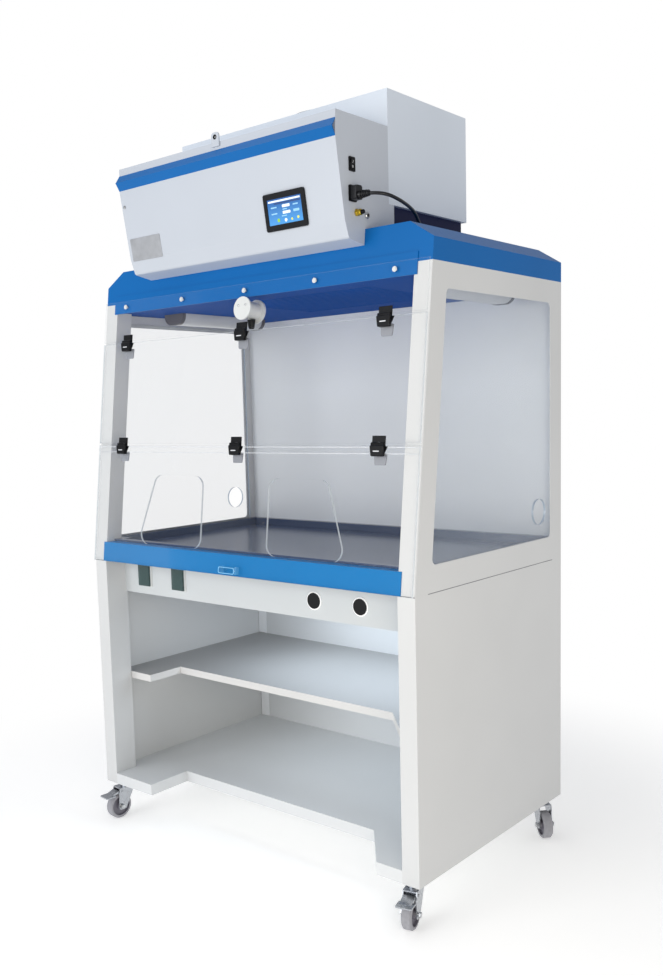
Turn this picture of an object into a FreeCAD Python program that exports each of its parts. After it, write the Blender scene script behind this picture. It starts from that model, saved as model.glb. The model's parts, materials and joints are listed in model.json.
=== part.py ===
"""Ducted fume hood on a wheeled stand.

A steel stand with two notched shelves carries a glazed work chamber with a sloping front. The front is
a sash of two clear panels that fold upwards on plastic hinges, with two arm openings in the lower one.
A blue canopy closes the chamber, and a head on its roof holds the blower, the controls and the duct collar.

X runs across, Y from front to back and Z up. The origin is on the floor under the middle of the object.
"""
import FreeCAD, Part
import math
import os
import re

import Sketcher

Vector = FreeCAD.Vector

# Driving dimensions in millimetres and degrees
SIZES = {
    # stand and chamber
    "width": 1000,
    "depth": 620,
    "stand_height": 595,
    "cabin_height": 651,
    "setback": 78,
    "sheet": 2,
    "post_width": 42,
    "post_depth": 64,
    "rear_flange": 30,
    "back_fold": 20,
    # shelves
    "low_shelf": 28,
    "low_notch_left": 320,
    "low_notch_right": 295,
    "low_notch_depth": 122,
    "mid_shelf": 290,
    "mid_lip": 18,
    "mid_notch_left": 382,
    "mid_notch_right": 318,
    "mid_notch_depth": 170,
    "notch_bevel": 98,
    "shelf_gap": 1,
    # apron with its sockets and plugs
    "apron_setback": 60,
    "apron_drop": 88,
    "apron_fold": 16,
    "socket_left": 374,
    "socket_pitch": 127,
    "socket_width": 47,
    "socket_tall": 60,
    "socket_rise": 7,
    "socket_depth": 30,
    "cover_thick": 5,
    "plug_right": 191,
    "plug_pitch": 128,
    "plug_drop": 47,
    "plug_size": 35,
    # casters
    "caster_height": 95,
    "caster_inset": 36,
    "caster_plate": 54,
    "caster_trail": 28,
    "race_size": 38,
    "wheel_size": 65,
    "wheel_wide": 22,
    "tread_bevel": 3,
    "axle_size": 8,
    "axle_play": 0.08,
    "fork_inside": 27,
    "fork_sheet": 2.5,
    "turn_front_left": 175,
    "turn_front_right": 195.2,
    "turn_rear": 132.6,
    "pedal_tip": 74,
    "pedal_wide": 36,
    "pedal_round": 4,
    "pedal_pin": 5,
    # worktop and front sill
    "worktop_rise": 35,
    "worktop_rim": 18,
    "rim_wide": 18,
    "slab": 20,
    "sill_height": 48,
    "sill_inset": 34,
    "sill_flange": 24,
    # side windows with pass-through ports
    "window_bottom": 56,
    "window_drop": 51,
    "window_front": 54,
    "window_rear": 55,
    "window_round": 12,
    "cabin_post": 46,
    "pane": 5,
    "pane_lap": 8,
    "port_size": 60,
    "port_back": 515,
    "port_rise": 120,
    # canopy, lamps and probe
    "canopy_side": 45,
    "canopy_rise": 81,
    "bevel_run": 58,
    "tongue": 25,
    "grille_wide": 420,
    "grille_deep": 300,
    "slot": 9,
    "slot_pitch": 20,
    "lamp_across": 398,
    "lamp_start": 212,
    "lamp_end": 526,
    "lamp_wide": 70,
    "lamp_drop": 28,
    "lamp_cap": 12,
    "probe_size": 52,
    "probe_drop": 51,
    "probe_neck": 38,
    "nozzle_back": 18,
    "nozzle_size": 18,
    # sash
    "sash": 5,
    "sash_inset": 3,
    "running_gap": 0.4,
    "hinge_drop": 99,
    "hinge_mid": 296,
    "panel_gap": 5,
    "hinge_spacing": 400,
    "leaf_thick": 2.5,
    "leaf_narrow": 32,
    "leaf_wide": 43,
    "leaf_up": 17,
    "leaf_down": 16,
    "knuckle": 9,
    "hinge_pin": 4,
    "pin_play": 0.08,
    "arm_inner": 105,
    "arm_top_outer": 270,
    "arm_low_outer": 328,
    "arm_low": 53,
    "arm_top": 222,
    "arm_round": 26,
    "pull_wide": 52,
    "pull_tall": 17,
    "pull_out": 14,
    "cap_size": 11,
    "cap_pitch": 208,
    "cap_drop": 11,
    # head, with its heights over the roof
    "head_half": 331,
    "nose_front": 34,
    "nose_drop": 18,
    "skirt_drop": 33,
    "face_low": 22,
    "face_start": 10,
    "face_tall": 157,
    "face_top": 3,
    "crown_tall": 51,
    "blower_front": 172,
    "blower_back": 479,
    "blower_left": 295,
    "blower_tall": 234,
    "plinth_tall": 61,
    "plinth_front": 190,
    "plinth_inset": 10,
    "ridge_tall": 35,
    "ridge_out": 11,
    "lug_wide": 23,
    "lug_tall": 30,
    "lug_above": 20,
    "lug_hole": 8,
    "collar_across": 60,
    "collar_back": 325,
    "collar_size": 204,
    "collar_tall": 21,
    "skirt_step": 1.5,
    "collar_skirt": 60,
    "collar_flange": 14,
    "screen_inset": 150,
    "screen_wide": 114,
    "screen_tall": 76,
    "screen_up": 40,
    "screen_out": 4,
    # electrical fittings on the right side of the head
    "fitting_back": 47,
    "rocker_rise": 121,
    "rocker_wide": 19,
    "rocker_tall": 28,
    "rocker_axle": 3,
    "inlet_rise": 64,
    "inlet_wide": 24,
    "inlet_tall": 32,
    "relief_drop": 5,
    # blower rotor
    "rotor_play": 4,
    "hub_size": 64,
    "hub_tall": 34,
    "hub_wall": 4,
    "hub_top": 5,
    "boss_size": 28,
    "blades": 7,
    "blade_thick": 2,
    "blade_root_pitch": 52,
    "blade_tip_pitch": 28,
    "blade_chord": 46,
    "motor_size": 70,
    "motor_tall": 40,
    "shaft": 10,
    # mains lead
    "lead": 7,
    "coil_across": 80,
}

doc = FreeCAD.newDocument("fume_hood")
table = doc.addObject("Spreadsheet::Sheet", "sizes")
for row, (name, number) in enumerate(SIZES.items(), 1):
    table.set("A%d" % row, name)
    table.set("B%d" % row, str(number))
    table.setAlias("B%d" % row, name)
doc.recompute()


# Expressions of sheet names
def link(text):
    """Expression in which every name of the sheet points at its cell."""
    def cell(match):
        word = match.group()
        return "sizes." + word if word in SIZES else word
    return re.sub(r"[a-z_][a-z_0-9]*", cell, str(text))


def value(text):
    """Number that an expression of sheet names gives."""
    return float(table.evalExpression(link(text)))


PEDAL_REACH = [f"((pedal_tip - pedal_round) * -cos({turn}) + pedal_round"
               f" + (pedal_wide / 2 - pedal_round) * abs(sin({turn})))"
               for turn in ("turn_front_left", "turn_front_right")]
REACH = f"(max({PEDAL_REACH[0]}; {PEDAL_REACH[1]}) - caster_inset)"
FRONT = f"(({REACH} - depth) / 2)"
BACK = f"({FRONT} + depth)"
BASE = "caster_height"
BEND = "(caster_height + stand_height)"
EAVES = f"({BEND} + cabin_height)"
ROOF = f"({EAVES} + canopy_rise)"
HALF = "(width / 2)"
LEAN = "(setback / cabin_height)"
SLANT = f"sqrt(1 + {LEAN} ^ 2)"


def behind(distance):
    """Y at a distance behind the front of the stand."""
    return f"({FRONT} + ({distance}))"


def above(rise):
    """Height over the bottom edge of the stand's upper bend."""
    return f"({BEND} + ({rise}))"


def over(rise):
    """Height over the roof of the canopy."""
    return f"({ROOF} + ({rise}))"


def lean(height, out=0):
    """Y of a line parallel to the sloping front, a distance in front of it."""
    return f"({FRONT} + (({height}) - {BEND}) * {LEAN} - ({out}) * {SLANT})"


# Sketches and features
PLANES = {"XY": ("XY_Plane", 1), "XZ": ("XZ_Plane", -1), "YZ": ("YZ_Plane", 1)}


def new_body(label):
    """Empty body whose label names the piece."""
    body = doc.addObject("PartDesign::Body", label)
    body.Label = label
    return body


def new_sketch(body, plane, place="0"):
    """Sketch on one of the body's own origin planes, moved along the plane's world axis."""
    role, sense = PLANES[plane]
    sketch = body.newObject("Sketcher::SketchObject", body.Name + "_outline")
    support = [item for item in body.Origin.OriginFeatures if item.Role == role][0]
    sketch.AttachmentSupport = [(support, "")]
    sketch.MapMode = "FlatFace"
    sketch.setExpression(".AttachmentOffset.Base.z", link(f"{sense} * ({place})"))
    sketch.Visibility = False
    return sketch


def tie(sketch, kind, *items):
    """Constraint whose value follows an expression, the last item."""
    text = items[-1]
    sketch.addConstraint(Sketcher.Constraint(kind, *items[:-1], value(text)))
    sketch.setExpression("Constraints[%d]" % (sketch.ConstraintCount - 1), link(text))


def pin_point(sketch, shape, point, across, up):
    """Holds one point of the sketch at a place given by two expressions."""
    tie(sketch, "DistanceX", -1, 1, shape, point, across)
    tie(sketch, "DistanceY", -1, 1, shape, point, up)


def polygon(sketch, points):
    """Closed outline of (across, up) corners, or (across, up, radius) where a corner is round."""
    count = len(points)
    corners = [Vector(value(item[0]), value(item[1]), 0) for item in points]
    enter, leave = [], []
    for index, item in enumerate(points):
        here = corners[index]
        before = (corners[index - 1] - here).normalize()
        after = (corners[(index + 1) % count] - here).normalize()
        step = 0.0
        if len(item) > 2:
            step = value(item[2]) / math.tan(before.getAngle(after) / 2)
        enter.append(here + before * step)
        leave.append(here + after * step)
    lines = []
    for index in range(count):
        edge = Part.LineSegment(leave[index], enter[(index + 1) % count])
        lines.append(sketch.addGeometry(edge, False))
    for index, item in enumerate(points):
        incoming, outgoing = lines[index - 1], lines[index]
        if len(item) == 2:
            sketch.addConstraint(Sketcher.Constraint("Coincident", incoming, 2, outgoing, 1))
            pin_point(sketch, outgoing, 1, item[0], item[1])
            continue
        here = corners[index]
        middle = round_middle(enter[index], here, leave[index], value(item[2]))
        arc = Part.Arc(enter[index], middle, leave[index])
        turned = arc.toShape().Curve.Axis.z < 0
        bend = sketch.addGeometry(arc, False)
        start, end = (2, 1) if turned else (1, 2)
        corner = sketch.addGeometry(Part.Point(here), True)
        pin_point(sketch, corner, 1, item[0], item[1])
        sketch.addConstraint(Sketcher.Constraint("PointOnObject", corner, 1, incoming))
        sketch.addConstraint(Sketcher.Constraint("PointOnObject", corner, 1, outgoing))
        sketch.addConstraint(Sketcher.Constraint("Tangent", incoming, 2, bend, start))
        sketch.addConstraint(Sketcher.Constraint("Tangent", bend, end, outgoing, 1))
        tie(sketch, "Radius", bend, item[2])


def round_middle(enter, corner, leave, radius):
    """Middle point of the arc that rounds a corner."""
    inward = ((enter + leave) * 0.5 - corner).normalize()
    reach = math.hypot((enter - corner).Length, radius)
    return corner + inward * (reach - radius)


def disc(sketch, across, up, size):
    """Circle given by its centre and diameter."""
    centre = Vector(value(across), value(up), 0)
    ring = sketch.addGeometry(Part.Circle(centre, Vector(0, 0, 1), value(size) / 2), False)
    pin_point(sketch, ring, 3, across, up)
    tie(sketch, "Radius", ring, f"({size}) / 2")


def box(sketch, left, right, low, high):
    """Rectangle between two across and two up places."""
    polygon(sketch, [(left, low), (right, low), (right, high), (left, high)])


def grow(body, plane, low, high, *drawings):
    """Pad of the drawn outlines between two places along the plane's world axis."""
    sketch = new_sketch(body, plane, low)
    for draw in drawings:
        draw(sketch)
    pad = body.newObject("PartDesign::Pad", body.Name + "_pad")
    pad.Profile = sketch
    pad.setExpression("Length", link(f"({high}) - ({low})"))
    pad.Reversed = PLANES[plane][1] < 0
    doc.recompute()
    return pad


def carve(body, plane, low, high, *drawings):
    """Pocket of the drawn outlines between two places, which has to take material away."""
    before = body.Shape.Volume
    sketch = new_sketch(body, plane, low)
    for draw in drawings:
        draw(sketch)
    pocket = body.newObject("PartDesign::Pocket", body.Name + "_pocket")
    pocket.Profile = sketch
    pocket.setExpression("Length", link(f"({high}) - ({low})"))
    pocket.Reversed = PLANES[plane][1] > 0
    doc.recompute()
    if not body.Shape.Volume < before - 1e-3:
        raise RuntimeError("a pocket of %s cuts nothing" % body.Label)
    return pocket


def spin(body, sketch, axis="H_Axis"):
    """Full revolution of a sketch about one of its own axes."""
    turn = body.newObject("PartDesign::Revolution", body.Name + "_turn")
    turn.Profile = sketch
    turn.ReferenceAxis = (sketch, [axis])
    turn.Angle = 360
    doc.recompute()
    return turn


def place_at(body, across="0", back="0", up="0", turn="0", axis=(0, 0, 1)):
    """Placement of a piece that is drawn about its own origin."""
    angle = value(turn)
    body.Placement = FreeCAD.Placement(Vector(0, 0, 0), FreeCAD.Rotation(Vector(*axis), angle))
    body.setExpression(".Placement.Base.x", link(across))
    body.setExpression(".Placement.Base.y", link(back))
    body.setExpression(".Placement.Base.z", link(up))
    if angle:
        body.setExpression(".Placement.Rotation.Angle", link(turn))
    doc.recompute()


def poly(*points):
    """Drawing of one closed outline."""
    return lambda sketch: polygon(sketch, points)


def rect(left, right, low, high):
    """Drawing of one rectangle."""
    return lambda sketch: box(sketch, left, right, low, high)


def hole(across, up, size):
    """Drawing of one circle."""
    return lambda sketch: disc(sketch, across, up, size)


def span(side, inner, outer):
    """Low and high X of a stretch given outwards from the middle, on the left (-1) or the right (1)."""
    if side > 0:
        return f"({inner})", f"({outer})"
    return f"(-({outer}))", f"(-({inner}))"


SIDES = {"left": -1, "right": 1}


# Stand
def stand_side(name, side):
    """Side panel folded into a hollow front post and a rear flange."""
    body = new_body("stand_side_" + name)
    for inner, outer, start, end in (
            (f"{HALF} - sheet", HALF, "0", "depth"),
            (f"{HALF} - post_width", f"{HALF} - sheet", "0", "sheet"),
            (f"{HALF} - post_width", f"{HALF} - post_width + sheet", "sheet", "post_depth"),
            (f"{HALF} - post_width + sheet", f"{HALF} - sheet", "post_depth - sheet", "post_depth"),
            (f"{HALF} - rear_flange", f"{HALF} - sheet", "depth - sheet", "depth")):
        left, right = span(side, inner, outer)
        grow(body, "XY", BASE, BEND, rect(left, right, behind(start), behind(end)))
    return body


REAR = "(depth - back_fold)"


def back_tray(label, low, high):
    """Rear panel whose side edges are folded back to meet the flanges of the side sheets."""
    body = new_body(label)
    edge = f"({HALF} - sheet)"
    inner = f"({edge} - sheet)"
    rear = behind("depth - sheet")
    grow(body, "XY", low, high,
         poly((f"-{edge}", rear), (f"-{edge}", behind(REAR)), (edge, behind(REAR)), (edge, rear),
              (inner, rear), (inner, behind(f"{REAR} + sheet")), (f"-{inner}", behind(f"{REAR} + sheet")),
              (f"-{inner}", rear)))
    return body


def notched(front, left_cut, right_cut, notch, bevel, edge, rear):
    """Shelf outline with a straight left and a slanting right end of the knee notch."""
    return poly((f"-({edge})", behind(front)), (f"-({left_cut})", behind(front)),
                (f"-({left_cut})", behind(notch)), (f"({right_cut})", behind(notch)),
                (f"({right_cut}) + ({bevel})", behind(front)), (f"({edge})", behind(front)),
                (f"({edge})", behind(rear)), (f"-({edge})", behind(rear)))


def low_shelf():
    """Bottom tray between the posts, its edge folded down to the foot of the stand."""
    body = new_body("low_shelf")
    top = f"({BASE} + low_shelf)"
    post = f"{HALF} - post_width"
    wall = f"{HALF} - sheet"
    rear = REAR
    grow(body, "XY", BASE, top, notched("0", "low_notch_left", "low_notch_right", "low_notch_depth",
                                        "notch_bevel", post, rear))
    for side in (-1, 1):
        left, right = span(side, f"{HALF} - post_width - sheet", wall)
        grow(body, "XY", BASE, top, rect(left, right, behind("post_depth"), behind(rear)))
    inner = f"{HALF} - post_width - sheet"
    carve(body, "XY", BASE, f"{top} - sheet",
          notched("sheet", "low_notch_left + sheet", "low_notch_right + sheet / 2",
                  "low_notch_depth + sheet", "notch_bevel", inner, f"{rear} - sheet"))
    return body


def mid_shelf():
    """Middle tray, cut back behind the posts, with a short lip."""
    body = new_body("mid_shelf")
    top = f"({BASE} + mid_shelf)"
    edge = f"{HALF} - sheet"
    front = "post_depth + shelf_gap"
    rear = REAR
    grow(body, "XY", f"{top} - mid_lip", top,
         notched(front, "mid_notch_left", "mid_notch_right", "mid_notch_depth", "notch_bevel", edge, rear))
    carve(body, "XY", f"{top} - mid_lip", f"{top} - sheet",
          notched(f"{front} + sheet", "mid_notch_left + sheet", "mid_notch_right + sheet / 2",
                  "mid_notch_depth + sheet", "notch_bevel", f"{edge} - sheet", f"{rear} - sheet"))
    return body


SOCKETS = ["(-socket_left)", "(-socket_left + socket_pitch)"]
PLUGS = ["plug_right", "(plug_right + plug_pitch)"]
SOCKET_LOW = f"({BEND} - socket_rise - socket_tall)"


def apron():
    """Panel under the worktop, folded back along its lower edge and punched for its fittings."""
    body = new_body("apron")
    edge = f"{HALF} - post_width"
    low = f"({BEND} - apron_drop)"
    grow(body, "YZ", f"-({edge})", edge,
         poly((behind("apron_setback"), low), (behind("apron_setback + apron_fold"), low),
              (behind("apron_setback + apron_fold"), f"{low} + sheet"),
              (behind("apron_setback + sheet"), f"{low} + sheet"),
              (behind("apron_setback + sheet"), BEND), (behind("apron_setback"), BEND)))
    openings = [rect(f"{place} - socket_width / 2 + 4", f"{place} + socket_width / 2 - 4",
                     f"{SOCKET_LOW} + 4", f"{SOCKET_LOW} + socket_tall - 4") for place in SOCKETS]
    openings += [hole(place, f"{BEND} - plug_drop", "plug_size - 6") for place in PLUGS]
    carve(body, "XZ", behind("apron_setback - 1"), behind("apron_setback + sheet + 1"), *openings)
    return body


COVER_BACK = "(apron_setback - 4 - running_gap)"
COVER_PIN = (f"({COVER_BACK} - cover_thick / 2)", f"({SOCKET_LOW} + socket_tall - cover_thick / 2)")


def socket_frames():
    """Two flanged socket housings with a contact face inside, ears and a pin for the cover."""
    body = new_body("socket_frames")
    face = "apron_setback"
    for place in SOCKETS:
        outer = rect(f"{place} - socket_width / 2", f"{place} + socket_width / 2",
                     SOCKET_LOW, f"{SOCKET_LOW} + socket_tall")
        grow(body, "XZ", behind(f"{face} - 4"), behind(face), outer)
        inner = rect(f"{place} - socket_width / 2 + 4.3", f"{place} + socket_width / 2 - 4.3",
                     f"{SOCKET_LOW} + 4.3", f"{SOCKET_LOW} + socket_tall - 4.3")
        grow(body, "XZ", behind(face), behind(f"{face} + socket_depth"), inner)
        recess = hole(place, f"{SOCKET_LOW} + socket_tall / 2", "socket_width - 11")
        carve(body, "XZ", behind(f"{face} - 4"), behind(f"{face} + socket_depth - 12"), recess)
        slots = [hole(f"{place} + {shift}", f"{SOCKET_LOW} + socket_tall / 2", "4.8")
                 for shift in (-9.5, 9.5)]
        carve(body, "XZ", behind(f"{face} + socket_depth - 12"), behind(f"{face} + socket_depth - 3"), *slots)
        half = "(socket_width / 2)"
        for left, right in ((f"{place} - {half}", f"{place} - {half} + 3"),
                            (f"{place} + {half} - 3", f"{place} + {half}")):
            grow(body, "YZ", left, right,
                 rect(behind(f"{COVER_BACK} - cover_thick"), behind(f"{face} - 4"),
                      f"{SOCKET_LOW} + socket_tall - cover_thick", f"{SOCKET_LOW} + socket_tall"))
        grow(body, "YZ", f"{place} - {half} + 1", f"{place} + {half} - 1",
             hole(behind(COVER_PIN[0]), COVER_PIN[1], "2.4"))
    return body


def socket_cover(name, place):
    """Flip-up cover with an eye along its top edge, hung on a pin above the socket."""
    body = new_body("socket_cover_" + name)
    front_face = f"{COVER_BACK} - cover_thick"
    top = f"({SOCKET_LOW} + socket_tall)"
    left = f"{place} - socket_width / 2 + 3 + running_gap"
    right = f"{place} + socket_width / 2 - 3 - running_gap"
    grow(body, "YZ", left, right,
         poly((behind(front_face), f"{SOCKET_LOW} + 1", "1.5"), (behind(COVER_BACK), f"{SOCKET_LOW} + 1"),
              (behind(COVER_BACK), top, "cover_thick / 2 - 0.1"),
              (behind(front_face), top, "cover_thick / 2 - 0.1")))
    carve(body, "YZ", f"{left} - 1", f"{right} + 1",
          hole(behind(COVER_PIN[0]), COVER_PIN[1], "2.4 + 2 * pin_play"))
    return body


def hole_plugs():
    """Two round cable plugs with a wide rim and a ribbed neck."""
    body = new_body("hole_plugs")
    up = f"({BEND} - plug_drop)"
    for place in PLUGS:
        grow(body, "XZ", behind("apron_setback - 3"), behind("apron_setback"), hole(place, up, "plug_size"))
        grow(body, "XZ", behind("apron_setback"), behind("apron_setback + 14"),
             hole(place, up, "plug_size - 6.4"))
        carve(body, "XZ", behind("apron_setback"), behind("apron_setback + 14"),
              hole(place, up, "plug_size - 12"))
    return body


# Casters, each drawn about its swivel axis with the wheel trailing towards +Y
CASTERS = {
    "front_left": (f"(-({HALF} - caster_inset))", behind("caster_inset"), "turn_front_left"),
    "front_right": (f"({HALF} - caster_inset)", behind("caster_inset"), "turn_front_right"),
    "rear_left": (f"(-({HALF} - caster_inset))", behind("depth - caster_inset"), "turn_rear"),
    "rear_right": (f"({HALF} - caster_inset)", behind("depth - caster_inset"), "360 - turn_rear"),
}
RACE_LOW = "(caster_height - 13)"
CROWN_TOP = f"({RACE_LOW} - running_gap)"
PEDAL_PIVOT = ("(caster_trail - 3)", "(wheel_size + 7.5)")


def caster_plates():
    """Four mounting plates, each with its ball race."""
    body = new_body("caster_plates")
    for across, back, _ in CASTERS.values():
        grow(body, "XY", f"{BASE} - 3", BASE,
             rect(f"{across} - caster_plate / 2", f"{across} + caster_plate / 2",
                  f"{back} - caster_plate / 2", f"{back} + caster_plate / 2"))
        grow(body, "XY", RACE_LOW, f"{BASE} - 3", hole(across, back, "race_size"))
    return body


def caster_fork(name, across, back, turn):
    """Pressed swivel fork: crown, two tapering legs, axle and pedal pivot."""
    body = new_body("caster_fork_" + name)
    half = "(fork_inside / 2)"
    outer = f"({half} + fork_sheet)"
    crown_low = f"({CROWN_TOP} - fork_sheet)"
    grow(body, "XY", crown_low, CROWN_TOP,
         poly((f"-{outer}", "-race_size / 2", "6"), (outer, "-race_size / 2", "6"),
              (outer, "caster_trail + 4"), (f"-{outer}", "caster_trail + 4")))
    for side in (-1, 1):
        left, right = span(side, half, outer)
        grow(body, "YZ", left, right,
             poly(("-race_size / 2 + 5", CROWN_TOP), ("caster_trail - 12", "wheel_size / 2 - 9", "8"),
                  ("caster_trail + 10", "wheel_size / 2 - 9", "8"), ("caster_trail + 8", "wheel_size + 2"),
                  ("caster_trail + 4", CROWN_TOP)))
    for at, size in (("(caster_trail)", "axle_size"), (PEDAL_PIVOT[0], "pedal_pin")):
        up = "wheel_size / 2" if size == "axle_size" else PEDAL_PIVOT[1]
        if size == "axle_size" or name.startswith("front"):
            grow(body, "YZ", f"-{outer} - 2", f"{outer} + 2", hole(at, up, size))
    place_at(body, across, back, "0", turn)
    return body


def caster_wheel(name, across, back, turn):
    """Tyre, web and hub turned about the axle."""
    body = new_body("caster_wheel_" + name)
    sketch = new_sketch(body, "XZ")
    tread = "(wheel_wide / 2)"
    hub = "(fork_inside / 2 - running_gap)"
    bore = "(axle_size / 2 + axle_play)"
    rim = "(wheel_size / 2 - 8)"
    crown, shoulder = "(wheel_size / 2)", "tread_bevel"
    polygon(sketch, [(f"-{hub}", bore), (hub, bore), (hub, "9"), ("5", "11"), ("5", rim), (tread, rim),
                     (tread, f"{crown} - {shoulder}"), (f"{tread} - {shoulder}", crown),
                     (f"-({tread} - {shoulder})", crown), (f"-{tread}", f"{crown} - {shoulder}"),
                     (f"-{tread}", rim), ("-5", rim), ("-5", "11"), (f"-{hub}", "9")])
    spin(body, sketch)
    place_at(body, f"{across} - caster_trail * sin({turn})", f"{back} + caster_trail * cos({turn})",
             "wheel_size / 2", turn)
    return body


def brake_pedal(name, across, back, turn):
    """Foot lever with a bored eye between the fork legs and a broad tip."""
    body = new_body("brake_pedal_" + name)
    pivot_back, pivot_up = PEDAL_PIVOT
    arm = "(fork_inside / 2 - running_gap)"
    tip = f"({pivot_up} - 8)"
    grow(body, "YZ", f"-{arm}", arm,
         poly((f"{pivot_back} - 4.5", f"{pivot_up} - 4.5", "3"), (f"{pivot_back} + 14", f"{pivot_up} - 4.5"),
              ("pedal_tip - 14", f"{tip} - 1.5"), ("pedal_tip - 14", f"{tip} + 1.5"),
              (f"{pivot_back} + 12", f"{pivot_up} + 2"), (f"{pivot_back} - 4.5", f"{pivot_up} + 4.5", "3")))
    grow(body, "XY", f"{tip} - 1.5", f"{tip} + 1.5",
         poly(("-pedal_wide / 2", "pedal_tip - 26"), ("pedal_wide / 2", "pedal_tip - 26"),
              ("pedal_wide / 2", "pedal_tip", "pedal_round"),
              ("-pedal_wide / 2", "pedal_tip", "pedal_round")))
    carve(body, "YZ", f"-{arm} - 1", f"{arm} + 1", hole(pivot_back, pivot_up, "pedal_pin + 2 * axle_play"))
    place_at(body, across, back, "0", turn)
    return body


# Chamber
def cabin_side(name, side):
    """Sheet side with a window opening, a hollow sloping post and a rear flange."""
    body = new_body("cabin_side_" + name)
    skin = span(side, f"{HALF} - sheet", HALF)
    grow(body, "YZ", *skin, poly((FRONT, BEND), (BACK, BEND), (BACK, EAVES), (lean(EAVES), EAVES)))
    cheek = span(side, f"{HALF} - post_width", f"{HALF} - post_width + sheet")
    web = span(side, f"{HALF} - post_width + sheet", f"{HALF} - sheet")
    for stretch, start, end in ((cheek, "0", "cabin_post"), (web, "0", "sheet"),
                                (web, "cabin_post - sheet", "cabin_post")):
        grow(body, "YZ", *stretch,
             poly((behind(start), BEND), (behind(end), BEND),
                  (f"{lean(EAVES)} + {end}", EAVES), (f"{lean(EAVES)} + {start}", EAVES)))
    flange = span(side, f"{HALF} - rear_flange", f"{HALF} - sheet")
    grow(body, "XY", BEND, EAVES, rect(*flange, behind("depth - sheet"), BACK))
    low, high = above("window_bottom"), f"({EAVES} - window_drop)"
    carve(body, "YZ", f"{skin[0]} - 1", f"{skin[1]} + 1",
          poly((f"{lean(low)} + window_front", low, "window_round"),
               (f"{BACK} - window_rear", low, "window_round"),
               (f"{BACK} - window_rear", high, "window_round"),
               (f"{lean(high)} + window_front", high, "window_round")))
    return body


def side_window(name, side):
    """Clear pane inside the opening, lapping its edge, with the round pass-through port."""
    body = new_body("side_window_" + name)
    left, right = span(side, f"{HALF} - sheet - pane", f"{HALF} - sheet")
    low, high = above("worktop_rise + worktop_rim"), f"({EAVES} - window_drop + pane_lap)"
    grow(body, "YZ", left, right,
         poly((f"{lean(low)} + cabin_post", low), (f"{BACK} - window_rear + pane_lap", low),
              (f"{BACK} - window_rear + pane_lap", high), (f"{lean(high)} + cabin_post", high)))
    carve(body, "YZ", f"{left} - 1", f"{right} + 1",
          hole(behind("port_back"), above("port_rise"), "port_size"))
    return body


def worktop():
    """Spill-proof top: a slab notched round the posts with a raised rim."""
    body = new_body("worktop")
    wall, post = f"({HALF} - sheet)", f"({HALF} - post_width)"
    start = behind("sill_flange + 6")
    step = f"({lean(above('worktop_rise + worktop_rim'))} + cabin_post + 0.5)"
    grow(body, "XY", above("worktop_rise - slab"), above("worktop_rise + worktop_rim"),
         poly((f"-{post}", start), (post, start), (post, step), (wall, step), (wall, behind(REAR)),
              (f"-{wall}", behind(REAR)), (f"-{wall}", step), (f"-{post}", step)))
    inner, corner = f"({wall} - rim_wide)", f"({post} - rim_wide)"
    carve(body, "XY", above("worktop_rise"), above("worktop_rise + worktop_rim"),
          poly((f"-{corner}", f"{start} + rim_wide"), (corner, f"{start} + rim_wide"),
               (corner, f"{step} + rim_wide"), (inner, f"{step} + rim_wide"),
               (inner, f"{behind(REAR)} - rim_wide"), (f"-{inner}", f"{behind(REAR)} - rim_wide"),
               (f"-{inner}", f"{step} + rim_wide"), (f"-{corner}", f"{step} + rim_wide")))
    return body


def sill_bar():
    """Folded rail across the posts along the lower edge of the opening."""
    body = new_body("sill_bar")
    edge, top = f"({HALF} - sill_inset)", above("sill_height")
    under = f"({top} - sheet)"
    grow(body, "YZ", f"-{edge}", edge,
         poly((lean(BEND, "sheet"), BEND), (lean(top, "sheet"), top), (f"{lean(top)} + sill_flange", top),
              (f"{lean(top)} + sill_flange", under), (lean(under), under), (lean(BEND), BEND)))
    post = f"({HALF} - post_width)"
    for side in (-1, 1):
        left, right = span(side, f"{post}", f"{edge} + 1")
        carve(body, "YZ", left, right,
              poly((lean(under), f"{under} - 1"), (f"{lean(top)} + sill_flange + 1", f"{under} - 1"),
                   (f"{lean(top)} + sill_flange + 1", f"{top} + 1"), (lean(f"({top} + 1)"), f"({top} + 1)")))
    return body


# Canopy with its ceiling, lamps and probe
INLET = "(collar_size - 2 * sheet)"


def canopy_outline(inset):
    """Cross-section of the canopy, drawn smaller by an inset."""
    side, eaves = f"({HALF} - ({inset}))", f"({EAVES} + canopy_side)"
    top, roof = f"({HALF} - bevel_run - ({inset}) / 2)", f"({ROOF} - ({inset}))"
    return poly((f"-{side}", EAVES), (side, EAVES), (side, eaves), (top, roof), (f"-{top}", roof),
                (f"-{side}", eaves))


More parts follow.
